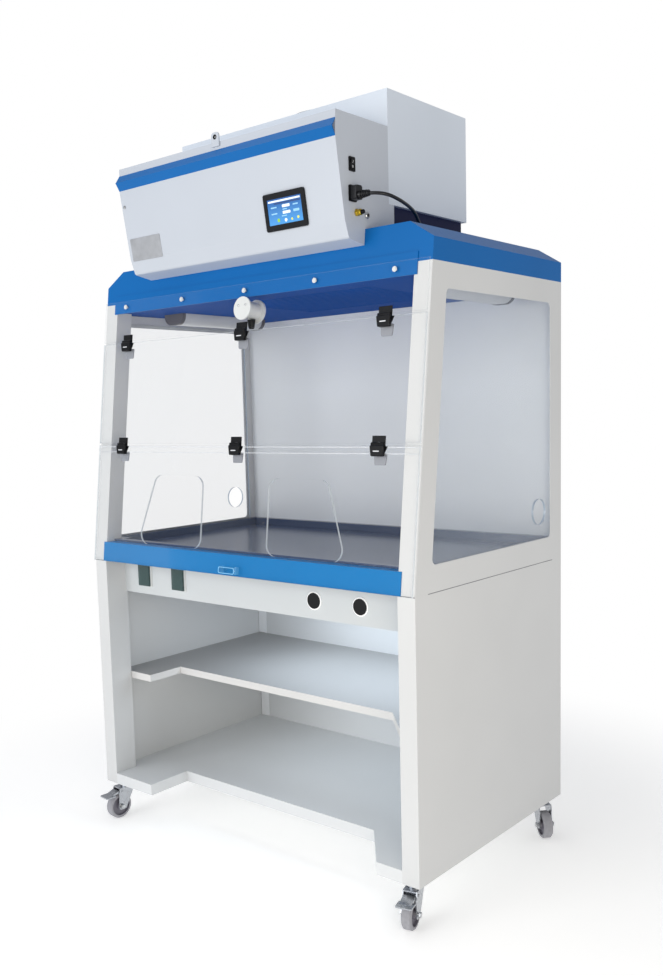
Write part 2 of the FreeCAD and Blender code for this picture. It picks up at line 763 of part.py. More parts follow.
def canopy():
    """Bevelled sheet cap with a front tongue over the posts and the blower inlet in its roof."""
    body = new_body("canopy")
    grow(body, "XZ", behind("setback"), BACK, canopy_outline("0"))
    ridge = f"({ROOF} + 1)"
    carve(body, "YZ", f"-({HALF} + 1)", f"{HALF} + 1",
          poly((lean(EAVES), EAVES), (lean(ridge), ridge), (f"{lean(EAVES)} - 5", ridge),
               (f"{lean(EAVES)} - 5", EAVES)))
    inner, step = f"({lean(ROOF)} + 2 * sheet)", f"({EAVES} + canopy_side)"
    carve(body, "XZ", inner, f"{BACK} - sheet", canopy_outline("sheet"))
    carve(body, "YZ", f"-({HALF} - sheet)", f"{HALF} - sheet",
          poly((f"{lean(EAVES)} + 1.1 * sheet", EAVES), (f"{lean(step)} + 1.1 * sheet", step),
               (inner, step), (inner, EAVES)))
    edge = f"({HALF} - sill_inset)"
    low = f"({EAVES} - tongue)"
    grow(body, "YZ", f"-{edge}", edge,
         poly((lean(low, "sheet"), low), (lean(low), low), (lean(f"({EAVES} + 20)"), f"({EAVES} + 20)"),
              (lean(f"({EAVES} + 20)", "sheet"), f"({EAVES} + 20)")))
    carve(body, "XY", f"{ROOF} - sheet - 1", f"{ROOF} + 1",
          hole("collar_across", behind("collar_back"), INLET))
    return body


def ceiling():
    """Chamber ceiling folded up at its edges, with a slotted intake under the blower."""
    body = new_body("ceiling")
    wall, post = f"({HALF} - sheet)", f"({HALF} - post_width)"
    low = f"({EAVES} - tongue + 4)"
    start = f"({lean(EAVES)} + 0.5)"
    step = f"({lean(EAVES)} + cabin_post)"
    rear = behind(REAR)
    grow(body, "XY", low, EAVES,
         poly((f"-{post}", start), (post, start), (post, step), (wall, step), (wall, rear),
              (f"-{wall}", rear), (f"-{wall}", step), (f"-{post}", step)))
    inner, corner = f"({wall} - sheet)", f"({post} - sheet)"
    carve(body, "XY", f"{low} + sheet", EAVES,
          poly((f"-{corner}", f"{start} + sheet"), (corner, f"{start} + sheet"),
               (corner, f"{step} + sheet"), (inner, f"{step} + sheet"), (inner, f"{rear} - sheet"),
               (f"-{inner}", f"{rear} - sheet"), (f"-{inner}", f"{step} + sheet"),
               (f"-{corner}", f"{step} + sheet")))
    count = int(value("grille_deep / slot_pitch"))
    slots = []
    for index in range(count):
        at = f"collar_back + ({index} - ({count} - 1) / 2) * slot_pitch"
        slots.append(rect("collar_across - grille_wide / 2", "collar_across + grille_wide / 2",
                          behind(f"{at} - slot / 2"), behind(f"{at} + slot / 2")))
    carve(body, "XY", f"{low} - 1", f"{low} + sheet + 1", *slots)
    return body


LAMP_TOP = f"({EAVES} - tongue + 4)"


def lamp_outline(place, inset):
    """Rounded trough under the ceiling."""
    half, low = f"(lamp_wide / 2 - ({inset}))", f"({LAMP_TOP} - lamp_drop + ({inset}))"
    return poly((f"{place} - {half}", LAMP_TOP), (f"{place} - {half}", low, f"24 - ({inset})"),
                (f"{place} + {half}", low, f"24 - ({inset})"), (f"{place} + {half}", LAMP_TOP))


def lamp_diffusers():
    """Two frosted troughs."""
    body = new_body("lamp_diffusers")
    for place in ("(-lamp_across)", "(lamp_across)"):
        start, end = behind("lamp_start + lamp_cap"), behind("lamp_end - lamp_cap")
        grow(body, "XZ", start, end, lamp_outline(place, "1"))
        carve(body, "XZ", start, end, lamp_outline(place, "3"))
    return body


def lamp_caps():
    """End caps that hold the diffusers, each a shallow cup with a wall between lamp and ceiling."""
    body = new_body("lamp_caps")
    for place in ("(-lamp_across)", "(lamp_across)"):
        for start, end in (("lamp_start", "lamp_start + lamp_cap"), ("lamp_end - lamp_cap", "lamp_end")):
            grow(body, "XZ", behind(start), behind(end), lamp_outline(place, "0"))
    return body


# Pieces on the sloping front are drawn in its own plane: X across, Z up the slope, -Y outwards
TILT = f"-atan({LEAN})"


def along(rise):
    """Length along the slope for a height over the bend."""
    return f"(({rise}) * {SLANT})"


def on_slope(body):
    """Placement in the plane of the sloping front."""
    place_at(body, "0", FRONT, BEND, TILT, (1, 0, 0))


HINGE_TOP = "(cabin_height - hinge_drop)"
CAP_RISE = "(cabin_height - cap_drop)"
PROBE_RISE = "(cabin_height - probe_drop)"
PANE_BACK = "(sheet + running_gap)"
PANE_FACE = f"({PANE_BACK} + sash)"
LEAF_FACE = f"({PANE_FACE} + leaf_thick)"
AXIS_OUT = f"({PANE_FACE} + 3.8)"
HINGES = ["(-hinge_spacing)", "0", "hinge_spacing"]
CAPS = [f"({step} * cap_pitch)" for step in (-2, -1, 0, 1, 2)]


def panel(body, low, high):
    """Clear sheet in front of the posts between two lengths along the slope."""
    edge = f"({HALF} - sash_inset)"
    return grow(body, "XZ", f"-{PANE_FACE}", f"-{PANE_BACK}", rect(f"-{edge}", edge, low, high))


def top_panel():
    """Fixed strip above the upper hinge line, drilled for the cap screws and the probe."""
    body = new_body("top_panel")
    panel(body, f"{along(HINGE_TOP)} + panel_gap / 2", f"{along('cabin_height')} + 4")
    holes = [hole(place, along(CAP_RISE), "4.4") for place in CAPS]
    holes.append(hole("0", along(PROBE_RISE), "probe_neck + 0.4"))
    carve(body, "XZ", f"-{PANE_FACE} - 1", f"-{PANE_BACK} + 1", *holes)
    on_slope(body)
    return body


def screw_caps():
    """Cap screws through the fixed strip into the canopy's tongue."""
    body = new_body("screw_caps")
    for place in CAPS:
        up = along(CAP_RISE)
        grow(body, "XZ", f"-{PANE_FACE} - 1.4", f"-{PANE_FACE}", hole(place, up, "cap_size"))
        grow(body, "XZ", f"-{PANE_FACE} - 3", f"-{PANE_FACE} - 1.4", hole(place, up, "cap_size - 3"))
        grow(body, "XZ", f"-{PANE_FACE}", "-sheet", hole(place, up, "4"))
    on_slope(body)
    return body


def upper_sash():
    """Upper clear panel between the two hinge lines."""
    body = new_body("upper_sash")
    panel(body, f"{along('hinge_mid')} + panel_gap / 2", f"{along(HINGE_TOP)} - panel_gap / 2")
    on_slope(body)
    return body


def lower_sash():
    """Lower clear panel with the two arm openings."""
    body = new_body("lower_sash")
    panel(body, "0", f"{along('hinge_mid')} - panel_gap / 2")
    low, high = along("arm_low"), along("arm_top")
    openings = []
    for side in (-1, 1):
        openings.append(poly((f"{side} * arm_inner", low, "arm_round"),
                             (f"{side} * arm_low_outer", low, "arm_round"),
                             (f"{side} * arm_top_outer", high, "arm_round"),
                             (f"{side} * arm_inner", high, "arm_round")))
    carve(body, "XZ", f"-{PANE_FACE} - 1", f"-{PANE_BACK} + 1", *openings)
    on_slope(body)
    return body


def sash_pull():
    """Clear bow handle at the foot of the lower panel."""
    body = new_body("sash_pull")
    half, face, tip = "(pull_wide / 2)", f"-{PANE_FACE}", f"-({PANE_FACE} + pull_out)"
    grow(body, "XY", along("5"), f"{along('5')} + pull_tall",
         poly((f"-{half}", face), (f"-{half}", tip, "6"), (half, tip, "6"), (half, face),
              (f"{half} - 4", face), (f"{half} - 4", f"{tip} + 4", "3"), (f"-{half} + 4", f"{tip} + 4", "3"),
              (f"-{half} + 4", face)))
    on_slope(body)
    return body


def hinge_leaf(label, rise, upper):
    """Three hinge halves: an upper leaf with two knuckles and the pin, or a lower one with one knuckle."""
    body = new_body(label)
    line = along(rise)
    ring = "knuckle / 2 - 0.6"
    near, far = f"-{LEAF_FACE}", f"-{PANE_FACE}"
    third = "(leaf_narrow / 6)"
    for place in HINGES:
        foot = f"({ring} + running_gap)"
        if upper:
            plate = rect(f"{place} - leaf_narrow / 2", f"{place} + leaf_narrow / 2",
                         f"{line} + {foot}", f"{line} + leaf_up")
            ends = ((f"{place} - leaf_narrow / 2", f"{place} - {third}"),
                    (f"{place} + {third}", f"{place} + leaf_narrow / 2"))
            reach = (line, f"{line} + {foot}")
        else:
            plate = poly((f"{place} - leaf_wide / 2", f"{line} - {foot}"),
                         (f"{place} - leaf_narrow / 2", f"{line} - leaf_down", "2"),
                         (f"{place} + leaf_narrow / 2", f"{line} - leaf_down", "2"),
                         (f"{place} + leaf_wide / 2", f"{line} - {foot}"))
            ends = ((f"{place} - {third} + running_gap", f"{place} + {third} - running_gap"),)
            reach = (f"{line} - {foot}", line)
        grow(body, "XZ", near, far, plate)
        for left, right in ends:
            grow(body, "YZ", left, right,
                 poly((near, reach[0]), (far, reach[0]), (far, reach[1]), (near, reach[1])))
            grow(body, "YZ", left, right, hole(f"-{AXIS_OUT}", line, f"2 * ({ring})"))
        if upper:
            grow(body, "YZ", f"{place} - leaf_narrow / 2 - 1", f"{place} + leaf_narrow / 2 + 1",
                 hole(f"-{AXIS_OUT}", line, "hinge_pin"))
        else:
            left, right = ends[0]
            carve(body, "YZ", f"{left} - 1", f"{right} + 1",
                  hole(f"-{AXIS_OUT}", line, "hinge_pin + 2 * pin_play"))
    on_slope(body)
    return body


def probe():
    """Airflow probe through the fixed strip: face disc, neck, rear ring and a nozzle that points down."""
    body = new_body("probe")
    up = along(PROBE_RISE)
    grow(body, "XZ", f"-{PANE_FACE} - 4", f"-{PANE_FACE}", hole("0", up, "probe_size"))
    grow(body, "XZ", f"-{PANE_FACE}", "34", hole("0", up, "probe_neck"))
    grow(body, "XZ", "34", "39", hole("0", up, "probe_size + 2"))
    carve(body, "XZ", "30", "39", hole("0", up, "probe_neck - 6"))
    on_slope(body)
    return body


def probe_nozzle():
    """Dark tapering nozzle under the neck of the probe."""
    body = new_body("probe_nozzle")
    sketch = new_sketch(body, "XZ")
    half = "(nozzle_size / 2)"
    top = f"-(probe_neck / 2 * {SLANT} + (nozzle_back + {half}) * {LEAN} + 0.3)"
    polygon(sketch, [("0", "-44"), ("5", "-44"), ("7", "-41"), (half, "-27"), (half, top), ("0", top)])
    spin(body, sketch, "V_Axis")
    place_at(body, "0", f"{lean(above(PROBE_RISE))} + nozzle_back", above(PROBE_RISE))
    return body


# Head
FACE_TILT = "atan((face_low + face_top) / face_tall)"
SKIRT = over("-skirt_drop")
FACE_END = "(face_start + face_tall)"
HEAD_TOP = f"({FACE_END} + crown_tall)"
BOX_TOP = "(plinth_tall + blower_tall)"


def cowl_outline(inset, rear):
    """Side outline of the head's front cover, drawn smaller by an inset."""
    step = f"({inset})"
    return poly((lean(f"({SKIRT} + {step})", "0"), f"({SKIRT} + {step})"),
                (behind(f"nose_front + {step}"), over(f"-nose_drop - 6 + {step}"), "7"),
                (behind(f"face_low + {step}"), over("face_start")),
                (behind(f"-face_top + {step}"), over(FACE_END)),
                (behind(f"-face_top + 2 + {step}"), over(f"{HEAD_TOP} - {step}")),
                (behind(rear), over(f"{HEAD_TOP} - {step}")),
                (behind(rear), ROOF), (lean(ROOF), ROOF))


def cowl():
    """Front cover of the head: a folded sheet box, open at the back and underneath."""
    body = new_body("cowl")
    grow(body, "YZ", "-head_half", "head_half", cowl_outline("0", "blower_front"))
    for side in (-1, 1):
        left, right = span(side, "head_half - sheet", "head_half")
        grow(body, "YZ", left, right, rect(behind("blower_front"), behind("plinth_front"), ROOF,
                                           over("plinth_tall")))
    carve(body, "YZ", "-(head_half - sheet)", "head_half - sheet", cowl_outline("sheet", "blower_front + 1"))
    mid = behind("fitting_back")
    carve(body, "YZ", "head_half - sheet - 1", "head_half + 1",
          rect(f"{mid} - rocker_wide / 2 + 2", f"{mid} + rocker_wide / 2 - 2",
               over("rocker_rise - rocker_tall / 2 + 2"), over("rocker_rise + rocker_tall / 2 - 2")),
          rect(f"{mid} - inlet_wide / 2 + 2", f"{mid} + inlet_wide / 2 - 2",
               over("inlet_rise - inlet_tall / 2 + 2"), over("inlet_rise + inlet_tall / 2 - 2")))
    return body


def trim_stripe():
    """Folded band with a sharp ridge along the top of the cover."""
    body = new_body("trim_stripe")
    low, high, ridge = over(FACE_END), over(f"{FACE_END} + ridge_tall"), "(face_top + ridge_out)"
    middle = over(f"{FACE_END} + ridge_tall / 2")
    top_back = "(-face_top + 2 * ridge_tall / crown_tall)"
    grow(body, "YZ", "-head_half", "head_half",
         poly((behind("-face_top"), low), (behind(f"-{ridge}"), middle), (behind(top_back), high),
              (behind(f"{top_back} - 0.2"), f"{high} - 3"), (behind(f"-{ridge} + 3"), middle),
              (behind("-face_top - 0.1"), f"{low} + 3")))
    return body


def lifting_lug():
    """Eyed tab on the upper front edge."""
    body = new_body("lifting_lug")
    back = behind("-face_top + 1")
    high = over(f"{HEAD_TOP} + lug_above")
    low = f"({high} - lug_tall)"
    grow(body, "XZ", f"{back} - 3", back,
         poly(("-lug_wide / 2", low), ("lug_wide / 2", low), ("lug_wide / 2", high, "8"),
              ("-lug_wide / 2", high, "8")))
    carve(body, "XZ", f"{back} - 4", f"{back} + 1", hole("0", f"{high} - lug_tall / 3", "lug_hole"))
    return body


def plinth():
    """Dark spacer ring between the roof and the blower box."""
    body = new_body("plinth")
    left, right = "(-blower_left + 10)", "(head_half - plinth_inset)"
    front, back = behind("plinth_front + 2"), behind("blower_back - 8")
    grow(body, "XY", ROOF, over("plinth_tall"), rect(left, right, front, back))
    carve(body, "XY", ROOF, over("plinth_tall"),
          rect(f"{left} + 3", f"{right} - 3", f"{front} + 3", f"{back} - 3"))
    return body


def blower_box():
    """Closed sheet box round the blower with its inlet below and its outlet above."""
    body = new_body("blower_box")
    left, right, front, back = "-blower_left", "head_half", behind("blower_front"), behind("blower_back")
    low, high = over("plinth_tall"), over(BOX_TOP)
    grow(body, "XY", low, high, rect(left, right, front, back))
    carve(body, "XY", f"{low} + sheet", f"{high} - sheet",
          rect(f"{left} + sheet", f"{right} - sheet", f"{front} + sheet", f"{back} - sheet"))
    middle = behind("collar_back")
    carve(body, "XY", f"{low} - 1", f"{low} + sheet + 1", hole("collar_across", middle, INLET))
    carve(body, "XY", f"{high} - sheet - 1", f"{high} + 1", hole("collar_across", middle, "collar_size"))
    return body


def collar():
    """Round duct collar with a flange on the box and a skirt round the rotor."""
    body = new_body("duct_collar")
    outer, inner = "(collar_size / 2)", "(collar_size / 2 - sheet)"
    sketch = new_sketch(body, "XZ")
    skirt = f"({outer} - skirt_step)"
    polygon(sketch, [(f"{skirt} - sheet", "-collar_skirt"), (skirt, "-collar_skirt"), (skirt, "0"),
                     (f"{outer} + collar_flange", "0"), (f"{outer} + collar_flange", "sheet"),
                     (outer, "sheet"), (outer, "collar_tall"), (inner, "collar_tall"),
                     (inner, "sheet"), (f"{skirt} - sheet", "sheet")])
    spin(body, sketch, "V_Axis")
    place_at(body, "collar_across", behind("collar_back"), over(BOX_TOP))
    return body


SKIRT_INSIDE = "(collar_size / 2 - skirt_step - sheet)"
ROTOR_RADIUS = f"({SKIRT_INSIDE} - rotor_play)"
ROTOR_MID = over(f"{BOX_TOP} - collar_skirt / 2")


def blade_section(sketch, pitch):
    """Flat blade section turned by its pitch, centred on the sketch origin."""
    half, edge = "(blade_chord / 2)", "(blade_thick / 2)"
    corners = []
    for along_sign, across_sign in ((-1, -1), (1, -1), (1, 1), (-1, 1)):
        across = f"{along_sign} * {half} * cos({pitch}) - ({across_sign} * {edge}) * sin({pitch})"
        up = f"{along_sign} * {half} * sin({pitch}) + ({across_sign} * {edge}) * cos({pitch})"
        corners.append((across, up))
    polygon(sketch, corners)


def rotor():
    """Bladed rotor: a cupped hub and one twisted lofted blade repeated round the shaft."""
    body = new_body("rotor")
    sketch = new_sketch(body, "XZ")
    radius, top, low = "(hub_size / 2)", "(hub_tall / 2)", "(-hub_tall / 2)"
    bore, boss, under = "(shaft / 2 + pin_play)", "(boss_size / 2)", f"({top} - hub_top)"
    polygon(sketch, [(bore, low), (boss, low), (boss, under), (f"{radius} - hub_wall", under),
                     (f"{radius} - hub_wall", low), (radius, low), (radius, f"{top} - hub_wall"),
                     (f"{radius} - hub_wall", top), (bore, top)])
    spin(body, sketch, "V_Axis")
    root = new_sketch(body, "YZ", f"{radius} - hub_wall / 2")
    blade_section(root, "blade_root_pitch")
    tip = new_sketch(body, "YZ", ROTOR_RADIUS)
    blade_section(tip, "blade_tip_pitch")
    doc.recompute()
    blade = body.newObject("PartDesign::AdditiveLoft", "blade")
    blade.Profile = root
    blade.Sections = [tip]
    doc.recompute()
    pattern = body.newObject("PartDesign::PolarPattern", "blade_pattern")
    pattern.Originals = [blade]
    upright = [item for item in body.Origin.OriginFeatures if item.Role == "Z_Axis"][0]
    pattern.Axis = (upright, [""])
    pattern.Angle = 360
    pattern.setExpression("Occurrences", link("blades"))
    body.Tip = pattern
    doc.recompute()
    place_at(body, "collar_across", behind("collar_back"), ROTOR_MID)
    return body


def motor():
    """Motor can on three struts that reach the skirt of the collar, with its shaft."""
    body = new_body("motor")
    top = "(-hub_tall / 2 - 3)"
    grow(body, "XY", f"{top} - motor_tall", top, hole("0", "0", "motor_size"))
    grow(body, "XY", top, "hub_tall / 2 + 2", hole("0", "0", "shaft"))
    reach = f"({SKIRT_INSIDE} - running_gap)"
    grow(body, "XY", f"{top} - 8", f"{top} - 4", rect(f"-{reach}", reach, "-8", "8"))
    grow(body, "XY", f"{top} - 8", f"{top} - 4", rect("-8", "8", f"-{reach}", reach))
    place_at(body, "collar_across", behind("collar_back"), ROTOR_MID)
    return body


# Fittings on the face and the right side of the head
def on_face(body):
    """Placement in the plane of the head's slanting face."""
    place_at(body, "0", behind("face_low"), over("face_start"), FACE_TILT, (1, 0, 0))


SCREEN_MID = "(head_half - screen_inset)"
SCREEN_UP = f"(screen_up / cos({FACE_TILT}))"


def screen_bezel():
    """Rounded frame of the touch panel."""
    body = new_body("screen_bezel")
    half, tall = "(screen_wide / 2)", "(screen_tall / 2)"
    mid, up = SCREEN_MID, SCREEN_UP
    grow(body, "XZ", "-screen_out", "0",
         poly((f"{mid} - {half}", f"{up} - {tall}", "5"), (f"{mid} + {half}", f"{up} - {tall}", "5"),
              (f"{mid} + {half}", f"{up} + {tall}", "5"), (f"{mid} - {half}", f"{up} + {tall}", "5")))
    carve(body, "XZ", "-screen_out", "-screen_out + 2.2",
          rect(f"{mid} - {half} + 10", f"{mid} + {half} - 10", f"{up} - {tall} + 12", f"{up} + {tall} - 12"))
    on_face(body)
    return body


def screen_glass():
    """Touch glass sunk in its frame."""
    body = new_body("screen_glass")
    half, tall = "(screen_wide / 2 - 10.2)", "(screen_tall / 2 - 12.2)"
    mid, up = SCREEN_MID, SCREEN_UP
    grow(body, "XZ", "-screen_out + 0.8", "-screen_out + 2.2",
         rect(f"{mid} - {half}", f"{mid} + {half}", f"{up} - {tall}", f"{up} + {tall}"))
    on_face(body)
    return body


def rocker_frame():
    """Switch frame with the well the rocker sits in."""
    body = new_body("rocker_frame")
    mid, up = behind("fitting_back"), over("rocker_rise")
    grow(body, "YZ", "head_half", "head_half + 2.5",
         poly(*[(f"{mid} + {a} * rocker_wide / 2", f"{up} + {b} * rocker_tall / 2", "2")
                for a, b in ((-1, -1), (1, -1), (1, 1), (-1, 1))]))
    grow(body, "YZ", "head_half - 16", "head_half",
         rect(f"{mid} - rocker_wide / 2 + 2", f"{mid} + rocker_wide / 2 - 2",
              f"{up} - rocker_tall / 2 + 2", f"{up} + rocker_tall / 2 - 2"))
    carve(body, "YZ", "head_half - 12", "head_half + 2.5",
          rect(f"{mid} - rocker_wide / 2 + 3.2", f"{mid} + rocker_wide / 2 - 3.2",
               f"{up} - rocker_tall / 2 + 3.2", f"{up} + rocker_tall / 2 - 3.2"))
    carve(body, "XZ", f"{mid} - rocker_wide / 2 + 2", f"{mid} + rocker_wide / 2 - 2",
          hole("head_half", up, "rocker_axle + 2 * pin_play"))
    return body


def rocker():
    """Switch rocker with a shallow vee face, tipped about its own axle."""
    body = new_body("rocker")
    half = "(rocker_tall / 2 - 3.2 - 1)"
    grow(body, "XZ", "-(rocker_wide / 2 - 3.2 - running_gap)", "rocker_wide / 2 - 3.2 - running_gap",
         poly(("-7", "-5"), ("2.2", f"-{half}"), ("4.6", f"-{half}"), ("2.6", "0"), ("4.6", half),
              ("2.2", half), ("-7", "5")))
    grow(body, "XZ", "-(rocker_wide / 2 - 2.2)", "rocker_wide / 2 - 2.2", hole("0", "0", "rocker_axle"))
    place_at(body, "head_half", behind("fitting_back"), over("rocker_rise"), "6", (0, 1, 0))
    return body


def inlet():
    """Power inlet with a flange and the well the lead's connector plugs into."""
    body = new_body("power_inlet")
    mid, up = behind("fitting_back"), over("inlet_rise")
    corners = ((-1, -1), (1, -1), (1, 1), (-1, 1))
    grow(body, "YZ", "head_half", "head_half + 3",
         poly(*[(f"{mid} + {a} * inlet_wide / 2", f"{up} + {b} * inlet_tall / 2", "3") for a, b in corners]))
    grow(body, "YZ", "head_half - 22", "head_half",
         rect(f"{mid} - inlet_wide / 2 + 2", f"{mid} + inlet_wide / 2 - 2",
              f"{up} - inlet_tall / 2 + 2", f"{up} + inlet_tall / 2 - 2"))
    carve(body, "YZ", "head_half - 18", "head_half + 3",
          rect(f"{mid} - inlet_wide / 2 + 3.2", f"{mid} + inlet_wide / 2 - 3.2",
               f"{up} - inlet_tall / 2 + 3.2", f"{up} + inlet_tall / 2 - 3.2"))
    return body


def lead_plug():
    """Connector of the lead in its well, with a tapered strain relief bored for the lead."""
    body = new_body("lead_plug")
    wide, tall = "(inlet_wide / 2 - 3.7)", "(inlet_tall / 2 - 3.7)"
    grow(body, "YZ", "-14", "3.4", rect(f"-{wide}", wide, f"relief_drop - {tall}", f"relief_drop + {tall}"))
    grow(body, "YZ", "3.4", "18",
         poly(*[(f"{a} * (inlet_wide / 2 - 2)", f"relief_drop + {b} * (inlet_tall / 2 - 2)", "4")
                for a, b in ((-1, -1), (1, -1), (1, 1), (-1, 1))]))
    sketch = new_sketch(body, "XZ")
    polygon(sketch, [("17", "0"), ("17", "7.5"), ("24", "6.4"), ("44", "lead / 2 + 1.1"), ("44", "0")])
    spin(body, sketch)
    carve(body, "YZ", "24", "46", hole("0", "0", "lead + 0.1"))
    place_at(body, "head_half", behind("fitting_back"), over("inlet_rise - relief_drop"))
    return body


# Mains lead
COIL = ("190", behind("depth - 72"))
LEAD_UP = f"{ROOF} + lead / 2 + 0.2"
PLUG_UP = "inlet_rise - relief_drop - lead / 2 - 0.2"
LEAD_PATH = [("24", "fitting_back", PLUG_UP), ("58", "fitting_back", PLUG_UP), ("76.5", "63", "50"),
             ("81", "97", "42.5"), ("72", "140", "38"), ("56", "186", "34"), ("35", "232", "19"),
             ("21", "280", "4"), ("17", "328", "0"), ("14", "378", "0"), ("16", "428", "0"),
             ("10", "470", "0"), ("-10", "497", "0"), ("-46", "505", "0"), ("-93", "503", "0"),
             ("-125", "504", "0")]
TAIL_PATH = [("-137", "592", "0"), ("-99", "592", "3"), ("-69", "582", "14.5"), ("-43", "565", "14.5")]


def lead_points(path):
    """Corner points of a stretch of lead, given from the side of the head, the front and the roof."""
    return [Vector(value(f"head_half + ({x})"), value(behind(y)), value(f"{LEAD_UP} + ({z})"))
            for x, y, z in path]


def lead_wire(points, label):
    """Straight runs joined by tangent arcs through the corner points."""
    edges, start, radii = [], points[0], []
    for before, corner, after in zip(points, points[1:], points[2:]):
        inward, outward = (before - corner), (after - corner)
        step = 0.45 * min(inward.Length, outward.Length)
        inward.normalize()
        outward.normalize()
        half_turn = (math.pi - inward.getAngle(outward)) / 2
        radii.append(step / math.tan(half_turn))
        enter, leave = corner + inward * step, corner + outward * step
        middle = (inward + outward).normalize()
        reach = math.hypot(step, radii[-1]) - radii[-1]
        edges.append(Part.LineSegment(start, enter).toShape())
        edges.append(Part.Arc(enter, corner + middle * reach, leave).toShape())
        start = leave
    edges.append(Part.LineSegment(start, points[-1]).toShape())
    wire = Part.Wire(edges)
    print("%s: length %.0f, smallest bend radius %.1f" % (label, wire.Length, min(radii)))
    return wire


def lead_tube(label, paths):
    """Round tube along each path, with its volume checked against section times length."""
    tubes = []
    for path in paths:
        points = lead_points(path)
        wire = lead_wire(points, label)
        radius = value("lead / 2")
        profile = Part.Wire(Part.makeCircle(radius, points[0], points[1] - points[0]))
        tube = wire.makePipeShell([profile], True, False)
        expected = math.pi * radius ** 2 * wire.Length
        if abs(tube.Volume / expected - 1) > 0.01:
            raise RuntimeError("the lead's tube is not whole")
        tubes.append(tube)
    item = doc.addObject("Part::Feature", label)
    item.Label = label
    item.Shape = Part.Compound(tubes)
    return item


def lead_coil():
    """Rest of the lead, coiled on the roof behind the blower box, as one closed ring."""
    body = new_body("lead_coil")
    sketch = new_sketch(body, "XZ")
    mid, top, bevel = "(coil_across / 2)", "(2 * lead)", "(lead / 3)"
    corners = [("-lead", bevel), (f"-lead + {bevel}", "0"), (f"lead - {bevel}", "0"), ("lead", bevel),
               ("lead", f"{top} - {bevel}"), (f"lead - {bevel}", top), (f"-lead + {bevel}", top),
               ("-lead", f"{top} - {bevel}")]
    polygon(sketch, [(f"{mid} + {across}", up) for across, up in corners])
    spin(body, sketch, "V_Axis")
    place_at(body, COIL[0], COIL[1], f"{ROOF} + 0.2")
    return body


def mains_plug():
    """Plain rounded mains plug with two pins at the free end of the lead."""
    body = new_body("mains_plug")
    sketch = new_sketch(body, "XZ")
    polygon(sketch, [("0", "0"), ("0", "16.5"), ("1.5", "18"), ("6", "18"), ("20", "13"), ("38", "6"),
                     ("38", "0")])
    spin(body, sketch)
    grow(body, "YZ", "-19", "0", hole("-9.5", "0", "4.8"), hole("9.5", "0", "4.8"))
    carve(body, "YZ", "30", "39", hole("0", "0", "lead + 0.1"))
    last, before = TAIL_PATH[-1], TAIL_PATH[-2]
    turn = f"atan2({before[1]} - {last[1]}; {before[0]} - ({last[0]}))"
    place_at(body, f"head_half + ({last[0]}) - 30 * cos({turn})",
             f"{behind(last[1])} - 30 * sin({turn})", f"{ROOF} + 18.2", turn)
    return body


# Build every piece
pieces = []
for name, side in SIDES.items():
    pieces += [stand_side(name, side), cabin_side(name, side), side_window(name, side)]
pieces += [back_tray("stand_back", BASE, BEND), back_tray("cabin_back", BEND, EAVES)]
pieces += [low_shelf(), mid_shelf(), apron(), socket_frames(), hole_plugs()]
for name, place in zip(SIDES, SOCKETS):
    pieces.append(socket_cover(name, place))
pieces.append(caster_plates())
for name, (across, back, turn) in CASTERS.items():
    pieces += [caster_fork(name, across, back, turn), caster_wheel(name, across, back, turn)]
    if name.startswith("front"):
        pieces.append(brake_pedal(name, across, back, turn))
pieces += [worktop(), sill_bar(), canopy(), ceiling(), lamp_diffusers(), lamp_caps()]
pieces += [top_panel(), screw_caps(), upper_sash(), lower_sash(), sash_pull(), probe(), probe_nozzle()]
for level, rise in (("top", HINGE_TOP), ("mid", "hinge_mid")):
    pieces.append(hinge_leaf("hinge_%s_upper" % level, rise, True))
    pieces.append(hinge_leaf("hinge_%s_lower" % level, rise, False))
pieces += [cowl(), trim_stripe(), lifting_lug(), plinth(), blower_box(), collar(), rotor(), motor()]
pieces += [screen_bezel(), screen_glass(), rocker_frame(), rocker(), inlet()]
pieces += [lead_plug(), lead_tube("lead_tube", [LEAD_PATH, TAIL_PATH]), lead_coil(), mains_plug()]
doc.recompute()

# Check and write the pieces
os.makedirs("parts", exist_ok=True)
for item in doc.Objects:
    if {"Invalid", "Error"} & set(item.State):
        raise RuntimeError("%s did not compute: %s" % (item.Name, item.State))
box_all = FreeCAD.BoundBox()
for piece in pieces:
    shape = piece.Shape
    if shape.isNull() or not shape.isValid() or shape.Volume <= 0:
        raise RuntimeError("%s has no valid solid" % piece.Label)
    shape.exportStep("parts/%s.step" % piece.Label)
    box_all.add(shape.BoundBox)
    print("%-24s solids %2d volume %10.0f" % (piece.Label, len(shape.Solids), shape.Volume))
print("pieces", len(pieces))
print("bounds", [round(number, 2) for number in (box_all.XMin, box_all.XMax, box_all.YMin, box_all.YMax,
                                                box_all.ZMin, box_all.ZMax)])
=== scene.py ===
# %% [markdown]
# # A ducted fume hood, dressed for its portrait
#
# The hood is a steel stand, a glazed work chamber with a folding sash, a blue canopy and a head with
# the blower. Its shapes come from a CAD model that is already packed, so this lesson is about the rest:
# the camera, the light, the finish of every surface, and the few soft or thin pieces that a CAD
# model leaves out. Everything is in metres, +Z is up and the front of the hood looks along -Y.

# %% Load the frame
import json
import math
import bmesh
import bpy
import numpy as np
from mathutils import Matrix, Vector

